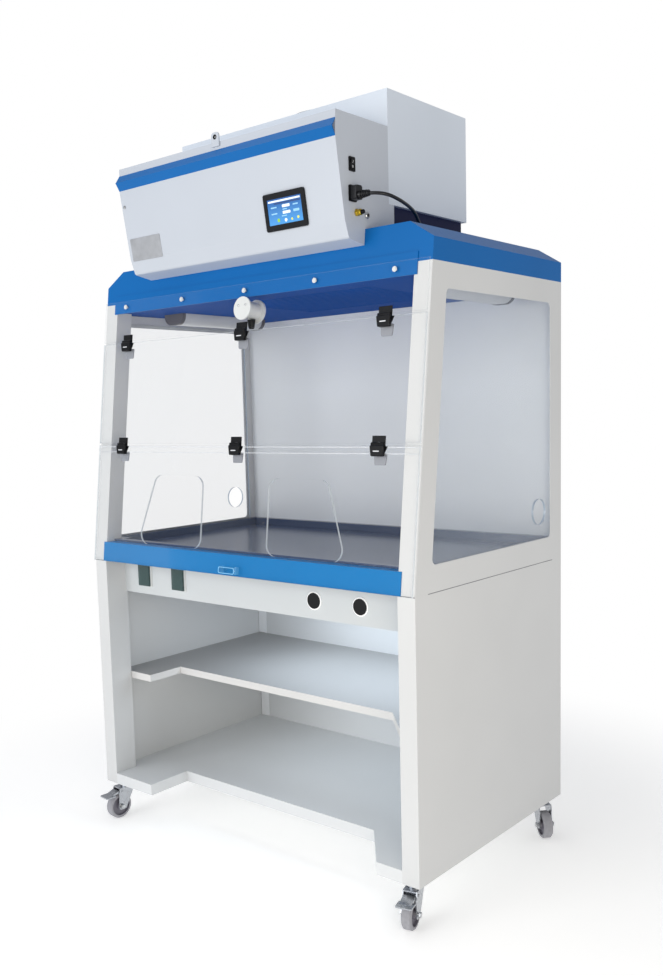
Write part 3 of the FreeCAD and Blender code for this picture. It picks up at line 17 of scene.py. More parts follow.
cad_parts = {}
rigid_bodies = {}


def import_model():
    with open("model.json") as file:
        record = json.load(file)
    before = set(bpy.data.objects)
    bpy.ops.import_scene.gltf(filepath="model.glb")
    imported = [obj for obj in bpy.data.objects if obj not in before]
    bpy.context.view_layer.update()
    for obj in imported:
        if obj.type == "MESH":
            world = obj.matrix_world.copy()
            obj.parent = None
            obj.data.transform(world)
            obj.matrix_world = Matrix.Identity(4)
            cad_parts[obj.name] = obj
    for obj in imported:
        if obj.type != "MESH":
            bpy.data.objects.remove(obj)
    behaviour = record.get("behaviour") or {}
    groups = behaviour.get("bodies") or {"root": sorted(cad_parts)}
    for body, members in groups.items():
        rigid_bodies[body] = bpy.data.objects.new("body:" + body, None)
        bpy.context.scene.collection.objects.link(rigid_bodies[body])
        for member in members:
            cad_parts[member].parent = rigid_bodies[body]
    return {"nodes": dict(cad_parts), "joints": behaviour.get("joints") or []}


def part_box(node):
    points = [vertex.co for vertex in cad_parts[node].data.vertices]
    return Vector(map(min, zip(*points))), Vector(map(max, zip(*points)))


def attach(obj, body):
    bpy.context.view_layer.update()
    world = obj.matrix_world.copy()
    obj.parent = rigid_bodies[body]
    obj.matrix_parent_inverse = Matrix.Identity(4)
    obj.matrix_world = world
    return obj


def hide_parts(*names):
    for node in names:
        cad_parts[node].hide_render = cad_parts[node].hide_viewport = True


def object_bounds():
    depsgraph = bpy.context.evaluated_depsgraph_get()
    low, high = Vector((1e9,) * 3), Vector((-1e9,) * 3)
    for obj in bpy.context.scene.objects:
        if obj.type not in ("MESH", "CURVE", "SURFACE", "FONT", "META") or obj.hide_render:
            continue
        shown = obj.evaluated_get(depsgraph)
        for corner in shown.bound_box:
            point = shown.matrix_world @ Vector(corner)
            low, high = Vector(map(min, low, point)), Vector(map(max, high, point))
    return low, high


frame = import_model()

cad_low, cad_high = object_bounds()
nodes = frame["nodes"]
scene = bpy.context.scene
MM = 0.001
print("nodes", len(nodes), "box", [round(c, 3) for c in (*cad_low, *cad_high)])

# %% [markdown]
# ## The camera
#
# A photograph fixes six numbers of its camera, and two more for its lens. They can be found by hand, by
# turning the view until the edges lie on the picture. Here they were solved from the corners of the
# stand, so the model falls on the photograph. The picture was cropped off its optical axis, which
# a small lens shift repeats. The place is given from the corner of the stand, because that is what was
# measured.

# %% Camera
PICTURE = (663, 976)
FOCAL_PIXELS = 981.7
AXIS_PIXEL = (311.1, 523.0)
EYE_FROM_CORNER = Vector((1.0717, -1.5536, 0.9572))
YAW, PITCH, ROLL = 40.61, -6.38, 1.57

stand_low, stand_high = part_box("stand_side_right")
corner = Vector((stand_high.x, stand_low.y, stand_low.z))
lens = bpy.data.cameras.new("portrait_lens")
lens.sensor_fit = "VERTICAL"
lens.sensor_height = 36.0
lens.lens = 36.0 * FOCAL_PIXELS / PICTURE[1]
lens.shift_x = (PICTURE[0] / 2 - AXIS_PIXEL[0]) / PICTURE[1]
lens.shift_y = (AXIS_PIXEL[1] - PICTURE[1] / 2) / PICTURE[1]
camera = bpy.data.objects.new("portrait_camera", lens)
scene.collection.objects.link(camera)
turned = (Matrix.Rotation(math.radians(YAW), 4, "Z") @ Matrix.Rotation(math.radians(PITCH), 4, "X")
          @ Matrix.Rotation(math.radians(ROLL), 4, "Y"))
looking = Matrix.Rotation(math.radians(90), 4, "X")
camera.matrix_world = Matrix.Translation(corner + EYE_FROM_CORNER) @ turned @ looking
scene.camera = camera
print("camera at", [round(c, 3) for c in camera.location], "lens", round(lens.lens, 1), "mm")

# %% [markdown]
# ## The mains lead
#
# The lead is a round PVC cable, 7 mm thick and 1.8 m long, which is what such a hood is sold with.
# The photograph shows it leave the inlet, sag beside the head and go behind it, so the rest is put away
# there as a neat coil under a strap. A lead could be a mesh tube, but a spline with a round bevel keeps
# its thickness in every bend. A NURBS spline of order 3 rounds the listed route by itself, and the
# coil is more points of the same spline: two turns inwards on the roof, then two and a half outwards
# on top of them.

# %% Lead
LEAD = 0.007
COIL_CENTRE = (0.190, 0.548)
COIL_INNER = 0.0300
TURN_BACK = 0.3
POINTS_PER_TURN = 16
cowl_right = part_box("cowl")[1].x
front = stand_low.y
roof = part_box("canopy")[1].z
lead_up = roof + LEAD / 2 + 0.0002
RELIEF_UP = 0.0553
route = [(0.024, 0.047, RELIEF_UP), (0.046, 0.047, RELIEF_UP), (0.074, 0.063, 0.051),
         (0.081, 0.097, 0.0425), (0.072, 0.140, 0.038), (0.056, 0.186, 0.034), (0.035, 0.232, 0.019),
         (0.021, 0.280, 0.004), (0.017, 0.328, 0), (0.014, 0.378, 0), (0.016, 0.428, 0),
         (0.010, 0.470, 0), (-0.010, 0.497, 0), (-0.046, 0.505, 0), (-0.093, 0.503, 0),
         (-0.125, 0.504, 0)]
tail = [(-0.122, 0.595, 0.006), (-0.069, 0.582, 0.0145), (-0.043, 0.565, 0.0145)]


def beside_head(points):
    """Rows of (out from the head's right side, back from the front, up from a lead lying on the roof)."""
    return np.array(points) + (cowl_right, front, lead_up)


def coil_points(inward, outward):
    """Centre line of the coil: the radius falls by a lead's thickness a turn on the roof, then grows by as
    much on the layer above, a hyperbola that rounds the turning point, and the angle runs clockwise."""
    turn = np.arange(0.5, (inward + outward) * POINTS_PER_TURN + 0.5) / POINTS_PER_TURN
    radius = COIL_INNER + LEAD * np.sqrt((turn - inward) ** 2 + TURN_BACK ** 2)
    angle = -math.pi / 2 - 2 * math.pi * turn
    rise = LEAD * np.clip((turn - inward) / 0.2 + 0.5, 0, 1)
    return np.stack([COIL_CENTRE[0] + radius * np.cos(angle), front + COIL_CENTRE[1] + radius * np.sin(angle),
                     lead_up + rise], 1)


lead_line = np.concatenate([beside_head(route), coil_points(2.0, 2.5), beside_head(tail)])
lead_curve = bpy.data.curves.new("mains_lead", "CURVE")
lead_curve.dimensions = "3D"
lead_curve.bevel_depth = 1.0
lead_curve.bevel_resolution = 5
lead_curve.resolution_u = 6
lead_curve.use_fill_caps = True
spline = lead_curve.splines.new("NURBS")
spline.points.add(len(lead_line) - 1)
spline.points.foreach_set("co", np.column_stack([lead_line, np.ones(len(lead_line))]).ravel())
spline.points.foreach_set("radius", np.full(len(lead_line), LEAD / 2))
spline.order_u = 3
spline.use_endpoint_u = True
lead = bpy.data.objects.new("mains_lead", lead_curve)
scene.collection.objects.link(lead)
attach(lead, "cabinet")
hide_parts("lead_tube", "lead_coil")
print("lead points", len(lead_line))

# %% [markdown]
# ## Floor and light
#
# The photograph is a catalogue picture: a white ground, hardly a shadow, bright fronts and slightly
# darker right sides. A backdrop sheet and many lamps would do it, but a plane and three soft lamps are
# enough: a wide one ahead, one above and a small warm one on the right. The floor is matt close to the
# hood, so the casters have a soft shadow to stand in, and turns into pure glowing white further out,
# where it can't be told from the sky. The sky is white to the camera and a calmer grey to the surfaces,
# which keeps the whites from burning out. Two weak panels under the worktop and the middle shelf lift the
# bay, which the photograph shows open and light.

# %% One helper for colours, one for nodes
def linear(code):
    """Turns an sRGB hex colour into linear light: c / 12.92 near black, else ((c + 0.055) / 1.055) ** 2.4."""
    channels = np.array([int(code[i:i + 2], 16) for i in (1, 3, 5)]) / 255
    bright = np.where(channels <= 0.04045, channels / 12.92, ((channels + 0.055) / 1.055) ** 2.4)
    return (*bright.tolist(), 1.0)


def add(tree, kind, settings=None, links=None):
    """Adds a node; settings name its inputs or its properties, links give the socket that feeds an input, or
    the node whose first output does."""
    node = tree.nodes.new("ShaderNode" + kind)
    for key, value in (settings or {}).items():
        if isinstance(key, int) or key in node.inputs:
            node.inputs[key].default_value = value
        else:
            setattr(node, key, value)
    for key, source in (links or {}).items():
        socket = source if isinstance(source, bpy.types.NodeSocket) else source.outputs[0]
        tree.links.new(socket, node.inputs[key])
    return node


def clean_tree(owner):
    """The emptied node tree of a material or world, and its new output node's Surface input."""
    owner.use_nodes = True
    owner.node_tree.nodes.clear()
    kind = "OutputWorld" if isinstance(owner, bpy.types.World) else "OutputMaterial"
    return owner.node_tree, add(owner.node_tree, kind).inputs["Surface"]


print("white in linear light", [round(c, 3) for c in linear("#e5e7ea")])

# %% Sky
SKY_ON_SURFACES = 0.465
sky = bpy.data.worlds.new("white_studio")
scene.world = sky
tree, surface = clean_tree(sky)
seen = add(tree, "LightPath")
lit_by = add(tree, "Background", {"Color": linear("#f8faff"), "Strength": SKY_ON_SURFACES})
shown = add(tree, "Background", {"Color": (1, 1, 1, 1), "Strength": 1.0})
either = add(tree, "MixShader", {}, {0: seen.outputs["Is Camera Ray"], 1: lit_by, 2: shown})
tree.links.new(either.outputs[0], surface)
scene.view_settings.view_transform = "Standard"
print("sky on surfaces", SKY_ON_SURFACES)

# %% Floor
FLOOR_HALF, FLOOR_BELOW = 30.0, 0.0005
MATT_WITHIN, WHITE_BEYOND, NEAR_GLOW = 0.75, 1.5, 0.32
floor_mesh = bpy.data.meshes.new("studio_floor")
floor_corners = np.array([(-1, -1, 0), (1, -1, 0), (1, 1, 0), (-1, 1, 0)]) * FLOOR_HALF
floor_mesh.from_pydata(floor_corners.tolist(), [], [(0, 1, 2, 3)])
floor = bpy.data.objects.new("studio_floor", floor_mesh)
scene.collection.objects.link(floor)
floor.location.z = float(cad_low[2]) - FLOOR_BELOW
studio_white = bpy.data.materials.new("matt_studio_floor")
tree, surface = clean_tree(studio_white)
place = add(tree, "TexCoord")
away = add(tree, "VectorMath", {"operation": "LENGTH"}, {0: place.outputs["Object"]})
fade = add(tree, "MapRange",
           {"interpolation_type": "SMOOTHSTEP", "From Min": MATT_WITHIN, "From Max": WHITE_BEYOND},
           {"Value": away.outputs["Value"]})
matt = add(tree, "BsdfDiffuse", {"Color": linear("#fbfbfa")})
glow = add(tree, "Emission", {"Color": (1, 1, 1, 1), "Strength": 1.0})
half_glow = add(tree, "Emission", {"Color": (1, 1, 1, 1), "Strength": NEAR_GLOW})
near = add(tree, "AddShader", {}, {0: matt, 1: half_glow})
mixed = add(tree, "MixShader", {}, {0: fade, 1: near, 2: glow})
tree.links.new(mixed.outputs[0], surface)
floor_mesh.materials.append(studio_white)
print("floor at", round(floor.location.z, 4))

# %% Lamps
def soft_lamp(name, place, aim, size, power):
    """Square area lamp at a place, turned to face a point."""
    data = bpy.data.lights.new(name, "AREA")
    data.size = size
    data.energy = power
    lamp = bpy.data.objects.new(name, data)
    lamp.location = place
    lamp.rotation_euler = (Vector(aim) - Vector(place)).to_track_quat("-Z", "Y").to_euler()
    scene.collection.objects.link(lamp)
    return lamp


soft_lamp("key_front", (-1.0, -4.6, 1.5), (0, 0, 0.7), 3.0, 90).data.color = (0.97, 0.985, 1.0)
soft_lamp("fill_right", (1.75, -1.45, 0.85), (0.3, -0.1, 0.75), 0.9, 10).data.color = (1.0, 0.90, 0.74)
soft_lamp("top", (-0.6, -0.6, 4.2), (0, 0, 1.0), 2.6, 20)
shelf_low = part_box("mid_shelf")[0].z
worktop_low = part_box("apron")[0].z
PANEL_X, PANEL_Y, PANEL_BELOW = 0.12, 0.06, 0.006
PANEL_WIDE, PANEL_DEEP = 0.70, 0.36
for name, under, power in (("bay_upper", worktop_low, 2.1), ("bay_lower", shelf_low, 0.48)):
    place = (PANEL_X, PANEL_Y, under - PANEL_BELOW)
    panel = soft_lamp(name, place, (PANEL_X, PANEL_Y, 0), PANEL_WIDE, power)
    panel.data.shape = "RECTANGLE"
    panel.data.size_y = PANEL_DEEP
    panel.data.color = (0.78, 0.89, 1.0)
    panel.visible_camera = False
print("lamps 5")

# %% [markdown]
# ## Powder-coated sheet steel
#
# Nearly all of the hood is folded steel sheet, powder coated: charged dry powder is baked into a
# polyester skin. Its mark is orange peel, a faint rolling of the gloss 1 to 3 mm long. A pixel of this
# picture covers almost 2 mm, so the peel is drawn 5 mm long, or it would vanish, and 9 mm on the back of
# the chamber, where 5 mm beats against the pixels. A second, far larger noise varies the shade by a few
# percent, as a sprayed coat does. A shelf is drawn darker where it looks up, which is painted shade.
# One recipe serves white, grey and blue, because only the pigment and the gloss differ.

# %% Powder coat
MOTTLE = 0.35


def powder_coat(name, colour, roughness, spread=0.03, gleam=0.5, painted_top_shade=0.0, peel_mm=5.0):
    """Polyester powder on steel: a large faint mottle, painted shade that takes a given share off the colour of
    faces that look up, and satin gloss broken by orange peel."""
    material = bpy.data.materials.new(name)
    tree, surface = clean_tree(material)
    place = add(tree, "TexCoord").outputs["Object"]
    cloud = add(tree, "TexNoise", {"Scale": 1 / MOTTLE, "Detail": 2.0}, {"Vector": place})
    shade = add(tree, "MapRange",
                {"From Min": 0.3, "From Max": 0.7, "To Min": 1 - spread, "To Max": 1 + spread},
                {"Value": cloud})
    upward = add(tree, "SeparateXYZ", {}, {0: add(tree, "TexCoord").outputs["Normal"]})
    # painted shade: faces that look up lose the given share of their colour
    film = add(tree, "MapRange", {"From Min": 0.6, "From Max": 0.95, "To Min": 1.0, "To Max": 1 - painted_top_shade},
               {"Value": upward.outputs["Z"]})
    depth = add(tree, "Math", {"operation": "MULTIPLY"}, {0: shade, 1: film})
    pigment = add(tree, "VectorMath", {"operation": "SCALE", 0: linear(colour)[:3]}, {"Scale": depth})
    peel = add(tree, "TexNoise", {"Scale": 1 / (peel_mm * MM), "Detail": 1.0}, {"Vector": place})
    gloss = add(tree, "MapRange", {"To Min": roughness - 0.05, "To Max": roughness + 0.05}, {"Value": peel})
    skin = add(tree, "Bump", {"Strength": 0.08, "Distance": 0.0002}, {"Height": peel})
    paint = add(tree, "BsdfPrincipled", {"IOR": 1.5, "Specular IOR Level": gleam},
                {"Base Color": pigment, "Roughness": gloss, "Normal": skin})
    tree.links.new(paint.outputs[0], surface)
    return material


def dress(material, *names):
    """Gives CAD nodes a material."""
    for name in names:
        for place in nodes[name].material_slots:
            place.material = material
        if not nodes[name].material_slots:
            nodes[name].data.materials.append(material)


print("mottle", MOTTLE, "m")

# %% Coats of this hood
white_coat = powder_coat("white_powder_coated_steel", "#d3d4d4", 0.42)
head_coat = powder_coat("pale_grey_powder_coated_steel", "#c0c6cf", 0.38)
box_coat = powder_coat("cool_grey_powder_coated_steel", "#d8e0ea", 0.38)
inner_coat = powder_coat("grey_powder_coated_steel", "#dadcdd", 0.45)
blue_coat = powder_coat("blue_powder_coated_steel", "#0063ab", 0.36, 0.05, 0.2)
back_coat = powder_coat("pale_grey_blue_powder_coated_steel", "#e2e6e9", 0.45, peel_mm=9.0)
# the shelf's upward faces are drawn darker: painted shade
shelf_coat = powder_coat("shelf_grey_powder_coated_steel", "#dcdbd9", 0.45, painted_top_shade=0.46)
sill_coat = powder_coat("light_blue_powder_coated_steel", "#0a77b8", 0.42, 0.05, 0.15)
ceiling_coat = powder_coat("dark_blue_powder_coated_steel", "#004a9e", 0.6, 0.05, 0.03)
apron_coat = powder_coat("light_grey_powder_coated_steel", "#cbcfd0", 0.42)
# the flanges are the sides' own steel, drawn a brighter white: painted highlight
flange_highlight_coat = powder_coat("highlight_white_powder_coated_steel", "#f4f6f8", 0.42)
navy_coat = powder_coat("navy_powder_coated_steel", "#0a1440", 0.5, 0.05, 0.2)
dress(white_coat, "cabin_side_left", "cabin_side_right", "stand_side_left", "stand_side_right")
dress(apron_coat, "apron")
dress(inner_coat, "stand_back", "low_shelf")
dress(shelf_coat, "mid_shelf")
dress(head_coat, "cowl")
dress(box_coat, "blower_box")
dress(back_coat, "cabin_back")
dress(blue_coat, "canopy", "trim_stripe")
dress(sill_coat, "sill_bar")
dress(ceiling_coat, "ceiling")
dress(navy_coat, "plinth")
print("powder coats", sum("powder_coated" in material.name for material in bpy.data.materials))

# %% [markdown]
# ## The worktop
#
# The worktop is cast black epoxy resin with a raised rim. Cast resin is dense and satin, so it mirrors the
# pale back wall as a soft grey veil that grows towards the far edge. Its colours are lifted from black to a
# blue-grey, which is painted sheen. Fine mineral filler gives it a grain of about 1 mm and the faintest
# speckle, drawn 4 mm wide so that it shows at all.

# %% Epoxy resin
GRIT, WIPE = 4 * MM, 0.30
epoxy = bpy.data.materials.new("cast_black_epoxy_resin")
tree, surface = clean_tree(epoxy)
place = add(tree, "TexCoord").outputs["Object"]
grain = add(tree, "TexNoise", {"Scale": 1 / GRIT, "Detail": 2.0}, {"Vector": place})
speckle_and_painted_sheen = add(tree, "ValToRGB", {}, {"Fac": grain})
# speckle colours lifted above black to blue-grey: painted sheen on the black resin
speckle_and_painted_sheen.color_ramp.elements[0].color = linear("#3c4963")
speckle_and_painted_sheen.color_ramp.elements[1].color = linear("#4f5d7a")
wiped = add(tree, "TexNoise", {"Scale": 1 / WIPE, "Detail": 1.0}, {"Vector": place})
gloss = add(tree, "MapRange", {"To Min": 0.16, "To Max": 0.24}, {"Value": wiped})
skin = add(tree, "Bump", {"Strength": 0.05, "Distance": 0.0001}, {"Height": grain})
resin = add(tree, "BsdfPrincipled", {"IOR": 1.58, "Specular IOR Level": 0.95},
            {"Base Color": speckle_and_painted_sheen, "Roughness": gloss, "Normal": skin})
tree.links.new(resin.outputs[0], surface)
dress(epoxy, "worktop")
print("epoxy dressed")

# %% [markdown]
# ## Clear sheet
#
# The sash and the windows are 5 mm polycarbonate. Real glass would need refraction and many bounces;
# a thin flat sheet bends nothing that can be seen, so it is drawn as a mostly transparent gloss.
# Three things make it visible: a faint milk over its face, a brighter film where it is seen
# edge-on, and its cut edges, which collect light and look almost white. The edges are found from the
# direction of the surface in the piece's own axes, so they travel with the sash.

# %% Polycarbonate
SMEAR = 0.15


def clear_sheet(name, facing, milk=0.003, tint="#dfe7ec", shine=0.05, rim=0.8):
    """Polycarbonate that is clear where its own normal lies along facing, and milky on its cut edges."""
    material = bpy.data.materials.new(name)
    tree, surface = clean_tree(material)
    own = add(tree, "TexCoord")
    along = add(tree, "VectorMath", {"operation": "DOT_PRODUCT", 1: facing}, {0: own.outputs["Normal"]})
    flat = add(tree, "Math", {"operation": "ABSOLUTE"}, {0: along.outputs["Value"]})
    edge = add(tree, "MapRange", {"From Min": 0.9, "From Max": 0.5, "To Min": 0.0, "To Max": rim},
               {"Value": flat})
    film = add(tree, "LayerWeight", {"Blend": 0.25})
    veil = add(tree, "Math", {"operation": "MULTIPLY_ADD", 1: shine, 2: milk}, {0: film.outputs["Fresnel"]})
    smear = add(tree, "TexNoise", {"Scale": 1 / SMEAR, "Detail": 2.0}, {"Vector": own.outputs["Object"]})
    gloss = add(tree, "MapRange", {"To Min": 0.04, "To Max": 0.14}, {"Value": smear})
    shown = add(tree, "Math", {"operation": "ADD", "use_clamp": True}, {0: edge, 1: veil})
    sheet = add(tree, "BsdfPrincipled", {"IOR": 1.586, "Base Color": linear(tint)},
                {"Roughness": gloss, "Alpha": shown})
    tree.links.new(sheet.outputs[0], surface)
    return material


def front_of(name):
    """Mean place and direction of a node's front, weighted by area over the faces that look forward."""
    faces = nodes[name].data.polygons
    normals, centres, areas = np.empty(len(faces) * 3), np.empty(len(faces) * 3), np.empty(len(faces))
    faces.foreach_get("normal", normals)
    faces.foreach_get("center", centres)
    faces.foreach_get("area", areas)
    normals, centres = normals.reshape(-1, 3), centres.reshape(-1, 3)
    ahead = areas * (normals[:, 1] < -0.6)
    direction = (normals * ahead[:, None]).sum(0)
    return Vector((centres * ahead[:, None]).sum(0) / ahead.sum()), Vector(direction).normalized()


print("fixed panel at", [round(c, 3) for c in front_of("top_panel")[0]])

# %% Sash, windows and pull
for sash in ("top_panel", "upper_sash", "lower_sash"):
    centre, facing = front_of(sash)
    shine, rim = (0.02, 0.15) if sash == "top_panel" else (0.05, 0.8)
    dress(clear_sheet("polycarbonate_" + sash, tuple(facing), shine=shine, rim=rim), sash)
    print(sash, "faces", [round(c, 3) for c in facing])
dress(clear_sheet("polycarbonate_side_window", (1, 0, 0), 0.09, "#aebccb"),
      "side_window_left", "side_window_right")
dress(clear_sheet("polycarbonate_pull", tuple(front_of("lower_sash")[1]), 0.0, "#6fbdec", rim=0.5), "sash_pull")

# %% [markdown]
# ## Moulded plastics
#
# The hinges, the switch, the inlet and the lamp caps are injection moulded nylon or ABS. Moulds are
# spark eroded, which leaves an even grain finer than a millimetre and a dull sheen. The same recipe
# gives white polyamide, the opal lamp covers and the smoked socket lids, which only differ in colour,
# gloss and how much light passes.

# %% Moulded
FLOW = 0.06


def moulded(name, colour, roughness, grain_mm=1.5, relief=0.10, alpha=1.0, glow=0.0, gleam=0.5):
    """Injection-moulded plastic with the even grain of a spark-eroded mould."""
    material = bpy.data.materials.new(name)
    tree, surface = clean_tree(material)
    place = add(tree, "TexCoord").outputs["Object"]
    grain = add(tree, "TexNoise", {"Scale": 1 / (grain_mm * MM), "Detail": 2.0}, {"Vector": place})
    flow = add(tree, "TexNoise", {"Scale": 1 / FLOW, "Detail": 1.0}, {"Vector": place})
    shade = add(tree, "MapRange", {"To Min": 0.94, "To Max": 1.06}, {"Value": flow})
    tone = add(tree, "VectorMath", {"operation": "SCALE", 0: linear(colour)[:3]}, {"Scale": shade})
    gloss = add(tree, "MapRange", {"To Min": roughness - 0.06, "To Max": roughness + 0.06}, {"Value": grain})
    skin = add(tree, "Bump", {"Strength": relief, "Distance": 0.0002}, {"Height": grain})
    plastic = add(tree, "BsdfPrincipled", {"IOR": 1.5, "Specular IOR Level": gleam, "Alpha": alpha,
                                           "Emission Color": linear(colour), "Emission Strength": glow},
                  {"Base Color": tone, "Roughness": gloss, "Normal": skin})
    tree.links.new(plastic.outputs[0], surface)
    return material


print("flow marks", FLOW, "m")

# %% Mouldings of this hood
black_nylon = moulded("black_moulded_nylon", "#07080c", 0.40, gleam=0.22)
matt_black = moulded("matt_black_moulded_abs", "#0a0b10", 0.45, gleam=0.2)
white_nylon = moulded("white_moulded_nylon", "#dcdedd", 0.35)
opal = moulded("opal_extruded_acrylic", "#c4c6ca", 0.3, 3.0, 0.05)
grey_cap = moulded("grey_moulded_abs", "#5c5a60", 0.4, gleam=0.3)
smoked = moulded("smoked_polycarbonate", "#34504f", 0.10, 3.0, 0.03, 0.80)
dress(black_nylon, "hinge_top_upper", "hinge_top_lower", "hinge_mid_upper", "hinge_mid_lower", "hole_plugs",
      "rocker_frame", "rocker", "power_inlet", "rotor", "probe_nozzle")
dress(matt_black, "screen_bezel")
dress(white_nylon, "screw_caps", "probe", "socket_frames")
dress(opal, "lamp_diffusers")
dress(grey_cap, "lamp_caps")
dress(smoked, "socket_cover_left", "socket_cover_right")
print("mouldings 6")

# %% [markdown]
# ## Plain metals
#
# The caster forks are zinc plated, the duct collar is galvanised sheet, the screws are stainless, and the
# earth nut is brass. All four are bare metal, so they are fully metallic and differ in colour and gloss.
# Zinc plate has a faint blue or yellow passivation that drifts over centimetres; galvanised sheet freezes
# into crystals called spangle, 5 to 15 mm across, which a cell pattern repeats.

# %% Bare metal
def bare_metal(name, colour, roughness, drift_mm, spangle=False):
    """Metal whose gloss and tint drift over a real distance: soft clouds for plating, cells for spangle."""
    material = bpy.data.materials.new(name)
    tree, surface = clean_tree(material)
    place = add(tree, "TexCoord").outputs["Object"]
    if spangle:
        cells = add(tree, "TexVoronoi", {"Scale": 1 / (drift_mm * MM)}, {"Vector": place})
        pattern = add(tree, "SeparateColor", {}, {0: cells.outputs["Color"]})
    else:
        pattern = add(tree, "TexNoise", {"Scale": 1 / (drift_mm * MM), "Detail": 3.0}, {"Vector": place})
    shade = add(tree, "MapRange", {"To Min": 0.86, "To Max": 1.12}, {"Value": pattern})
    tint = add(tree, "VectorMath", {"operation": "SCALE", 0: linear(colour)[:3]}, {"Scale": shade})
    gloss = add(tree, "MapRange", {"To Min": roughness - 0.08, "To Max": roughness + 0.1}, {"Value": pattern})
    metal = add(tree, "BsdfPrincipled", {"Metallic": 1.0}, {"Base Color": tint, "Roughness": gloss})
    tree.links.new(metal.outputs[0], surface)
    return material


zinc_plate = bare_metal("zinc_plated_pressed_steel", "#b6b9be", 0.27, 12)
galvanised = bare_metal("galvanised_sheet", "#b4b9bd", 0.38, 9, True)
stainless = bare_metal("turned_stainless_steel", "#c4c6c8", 0.24, 6)
brass = bare_metal("turned_brass", "#d8b53a", 0.28, 8)
dress(zinc_plate, "caster_plates", *[n for n in nodes if n.startswith(("caster_fork", "brake_pedal"))])
dress(galvanised, "duct_collar", "motor")
dress(head_coat, "lifting_lug")
print("metals 4")

# %% [markdown]
# ## Casters
#
# A wheel is grey thermoplastic rubber moulded round a dark nylon hub. The CAD node holds both, so the
# material splits them by the distance from the axle. Every wheel stands at its own place and angle; a
# Mapping node takes each one back to its own axle, whose direction comes from its roll joint.

# %% Wheels
TREAD_FROM, DUST = 0.0255, 6 * MM
for roll in [j for j in frame["joints"] if j["name"].endswith("_roll")]:
    corner_name = roll["name"][:-5]
    wheel = "caster_wheel_" + corner_name
    low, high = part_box(wheel)
    heading = math.atan2(roll["axis"][1], roll["axis"][0])
    rubber = bpy.data.materials.new("grey_rubber_tyre_" + corner_name)
    tree, surface = clean_tree(rubber)
    place = add(tree, "TexCoord").outputs["Object"]
    home = add(tree, "Mapping",
               {"vector_type": "TEXTURE", "Location": (low + high) / 2, "Rotation": (0, 0, heading)},
               {"Vector": place})
    across = add(tree, "VectorMath", {"operation": "MULTIPLY", 1: (0, 1, 1)}, {0: home})
    radius = add(tree, "VectorMath", {"operation": "LENGTH"}, {0: across})
    tread = add(tree, "Math", {"operation": "GREATER_THAN", 1: TREAD_FROM}, {0: radius.outputs["Value"]})
    dust = add(tree, "TexNoise", {"Scale": 1 / DUST, "Detail": 4.0}, {"Vector": home})
    worn = add(tree, "Mix", {"data_type": "RGBA", 6: linear("#8e8e94"), 7: linear("#a9a9af")}, {0: dust})
    colour = add(tree, "Mix", {"data_type": "RGBA", 6: linear("#73717c")}, {0: tread, 7: worn.outputs[2]})
    gloss = add(tree, "MapRange", {"To Min": 0.45, "To Max": 0.75}, {"Value": tread})
    skin = add(tree, "Bump", {"Strength": 0.2, "Distance": 0.0003}, {"Height": dust})
    tyre = add(tree, "BsdfPrincipled", {"IOR": 1.52},
               {"Base Color": colour.outputs[2], "Roughness": gloss, "Normal": skin})
    tree.links.new(tyre.outputs[0], surface)
    dress(rubber, wheel)
print("wheels dressed")

# %% [markdown]
# ## Lead, relief and plug
#
# Lead, relief and plug are one soft black PVC. It is extruded round the wires and never perfectly
# even: a slow waviness over a few centimetres catches the light along the cable.

# %% PVC
pvc = moulded("black_extruded_pvc", "#0b0c11", 0.36, 8.0, 0.25, gleam=0.4)
lead_curve.materials.append(pvc)
dress(pvc, "lead_plug", "lead_tube", "lead_coil", "mains_plug")
print("pvc dressed")

# %% [markdown]
# ## The screen
#
# A resistive touch panel behind a thin film: a blue gradient with plain bars and dots, and nothing
# written. The gradient belongs to the glass itself and is computed from the height on its own
# tilted plane; the bars come later as thin pieces on top.

# %% Screen glass
SHADE_HALF = 0.026
screen_at, screen_facing = front_of("screen_glass")
screen_up = Vector((0, 0, 1)) - screen_facing * screen_facing.z
screen_up.normalize()
screen_across = screen_up.cross(screen_facing)
display = bpy.data.materials.new("lit_display_film")
tree, surface = clean_tree(display)
place = add(tree, "TexCoord").outputs["Object"]
offset = add(tree, "VectorMath", {"operation": "SUBTRACT", 1: screen_at}, {0: place})
height = add(tree, "VectorMath", {"operation": "DOT_PRODUCT", 1: screen_up}, {0: offset})
share = add(tree, "MapRange", {"From Min": -SHADE_HALF, "From Max": SHADE_HALF},
            {"Value": height.outputs["Value"]})
sky_blue = add(tree, "ValToRGB", {}, {"Fac": share})
sky_blue.color_ramp.elements[0].color = linear("#3f8fd0")
sky_blue.color_ramp.elements[1].color = linear("#245596")
glass = add(tree, "BsdfPrincipled",
            {"IOR": 1.5, "Roughness": 0.12, "Emission Strength": 0.28, "Coat Weight": 0.3},
            {"Base Color": sky_blue, "Emission Color": sky_blue})
tree.links.new(glass.outputs[0], surface)
dress(display, "screen_glass")
print("screen across", [round(c, 3) for c in screen_across], "up", [round(c, 3) for c in screen_up])

# %% [markdown]
# ## Small pieces, one way to make them
#
# What a CAD model leaves out are the small things: screws, nuts, plates, a strap. Each is a sheet of
# points, a grid whose cells become faces. A turned part is a profile carried round an axis, and a
# flat part is an outline carried through its thickness and shrunk to its middle. So one function makes
# a mesh from grids, one turns a profile, one stacks an outline, and one leaves the middle open. Sizes of
# small parts are in millimetres, and places are in metres, as everywhere.

# %% Grids to meshes
WELD = 0.000002
SOFT_BELOW = math.radians(32)


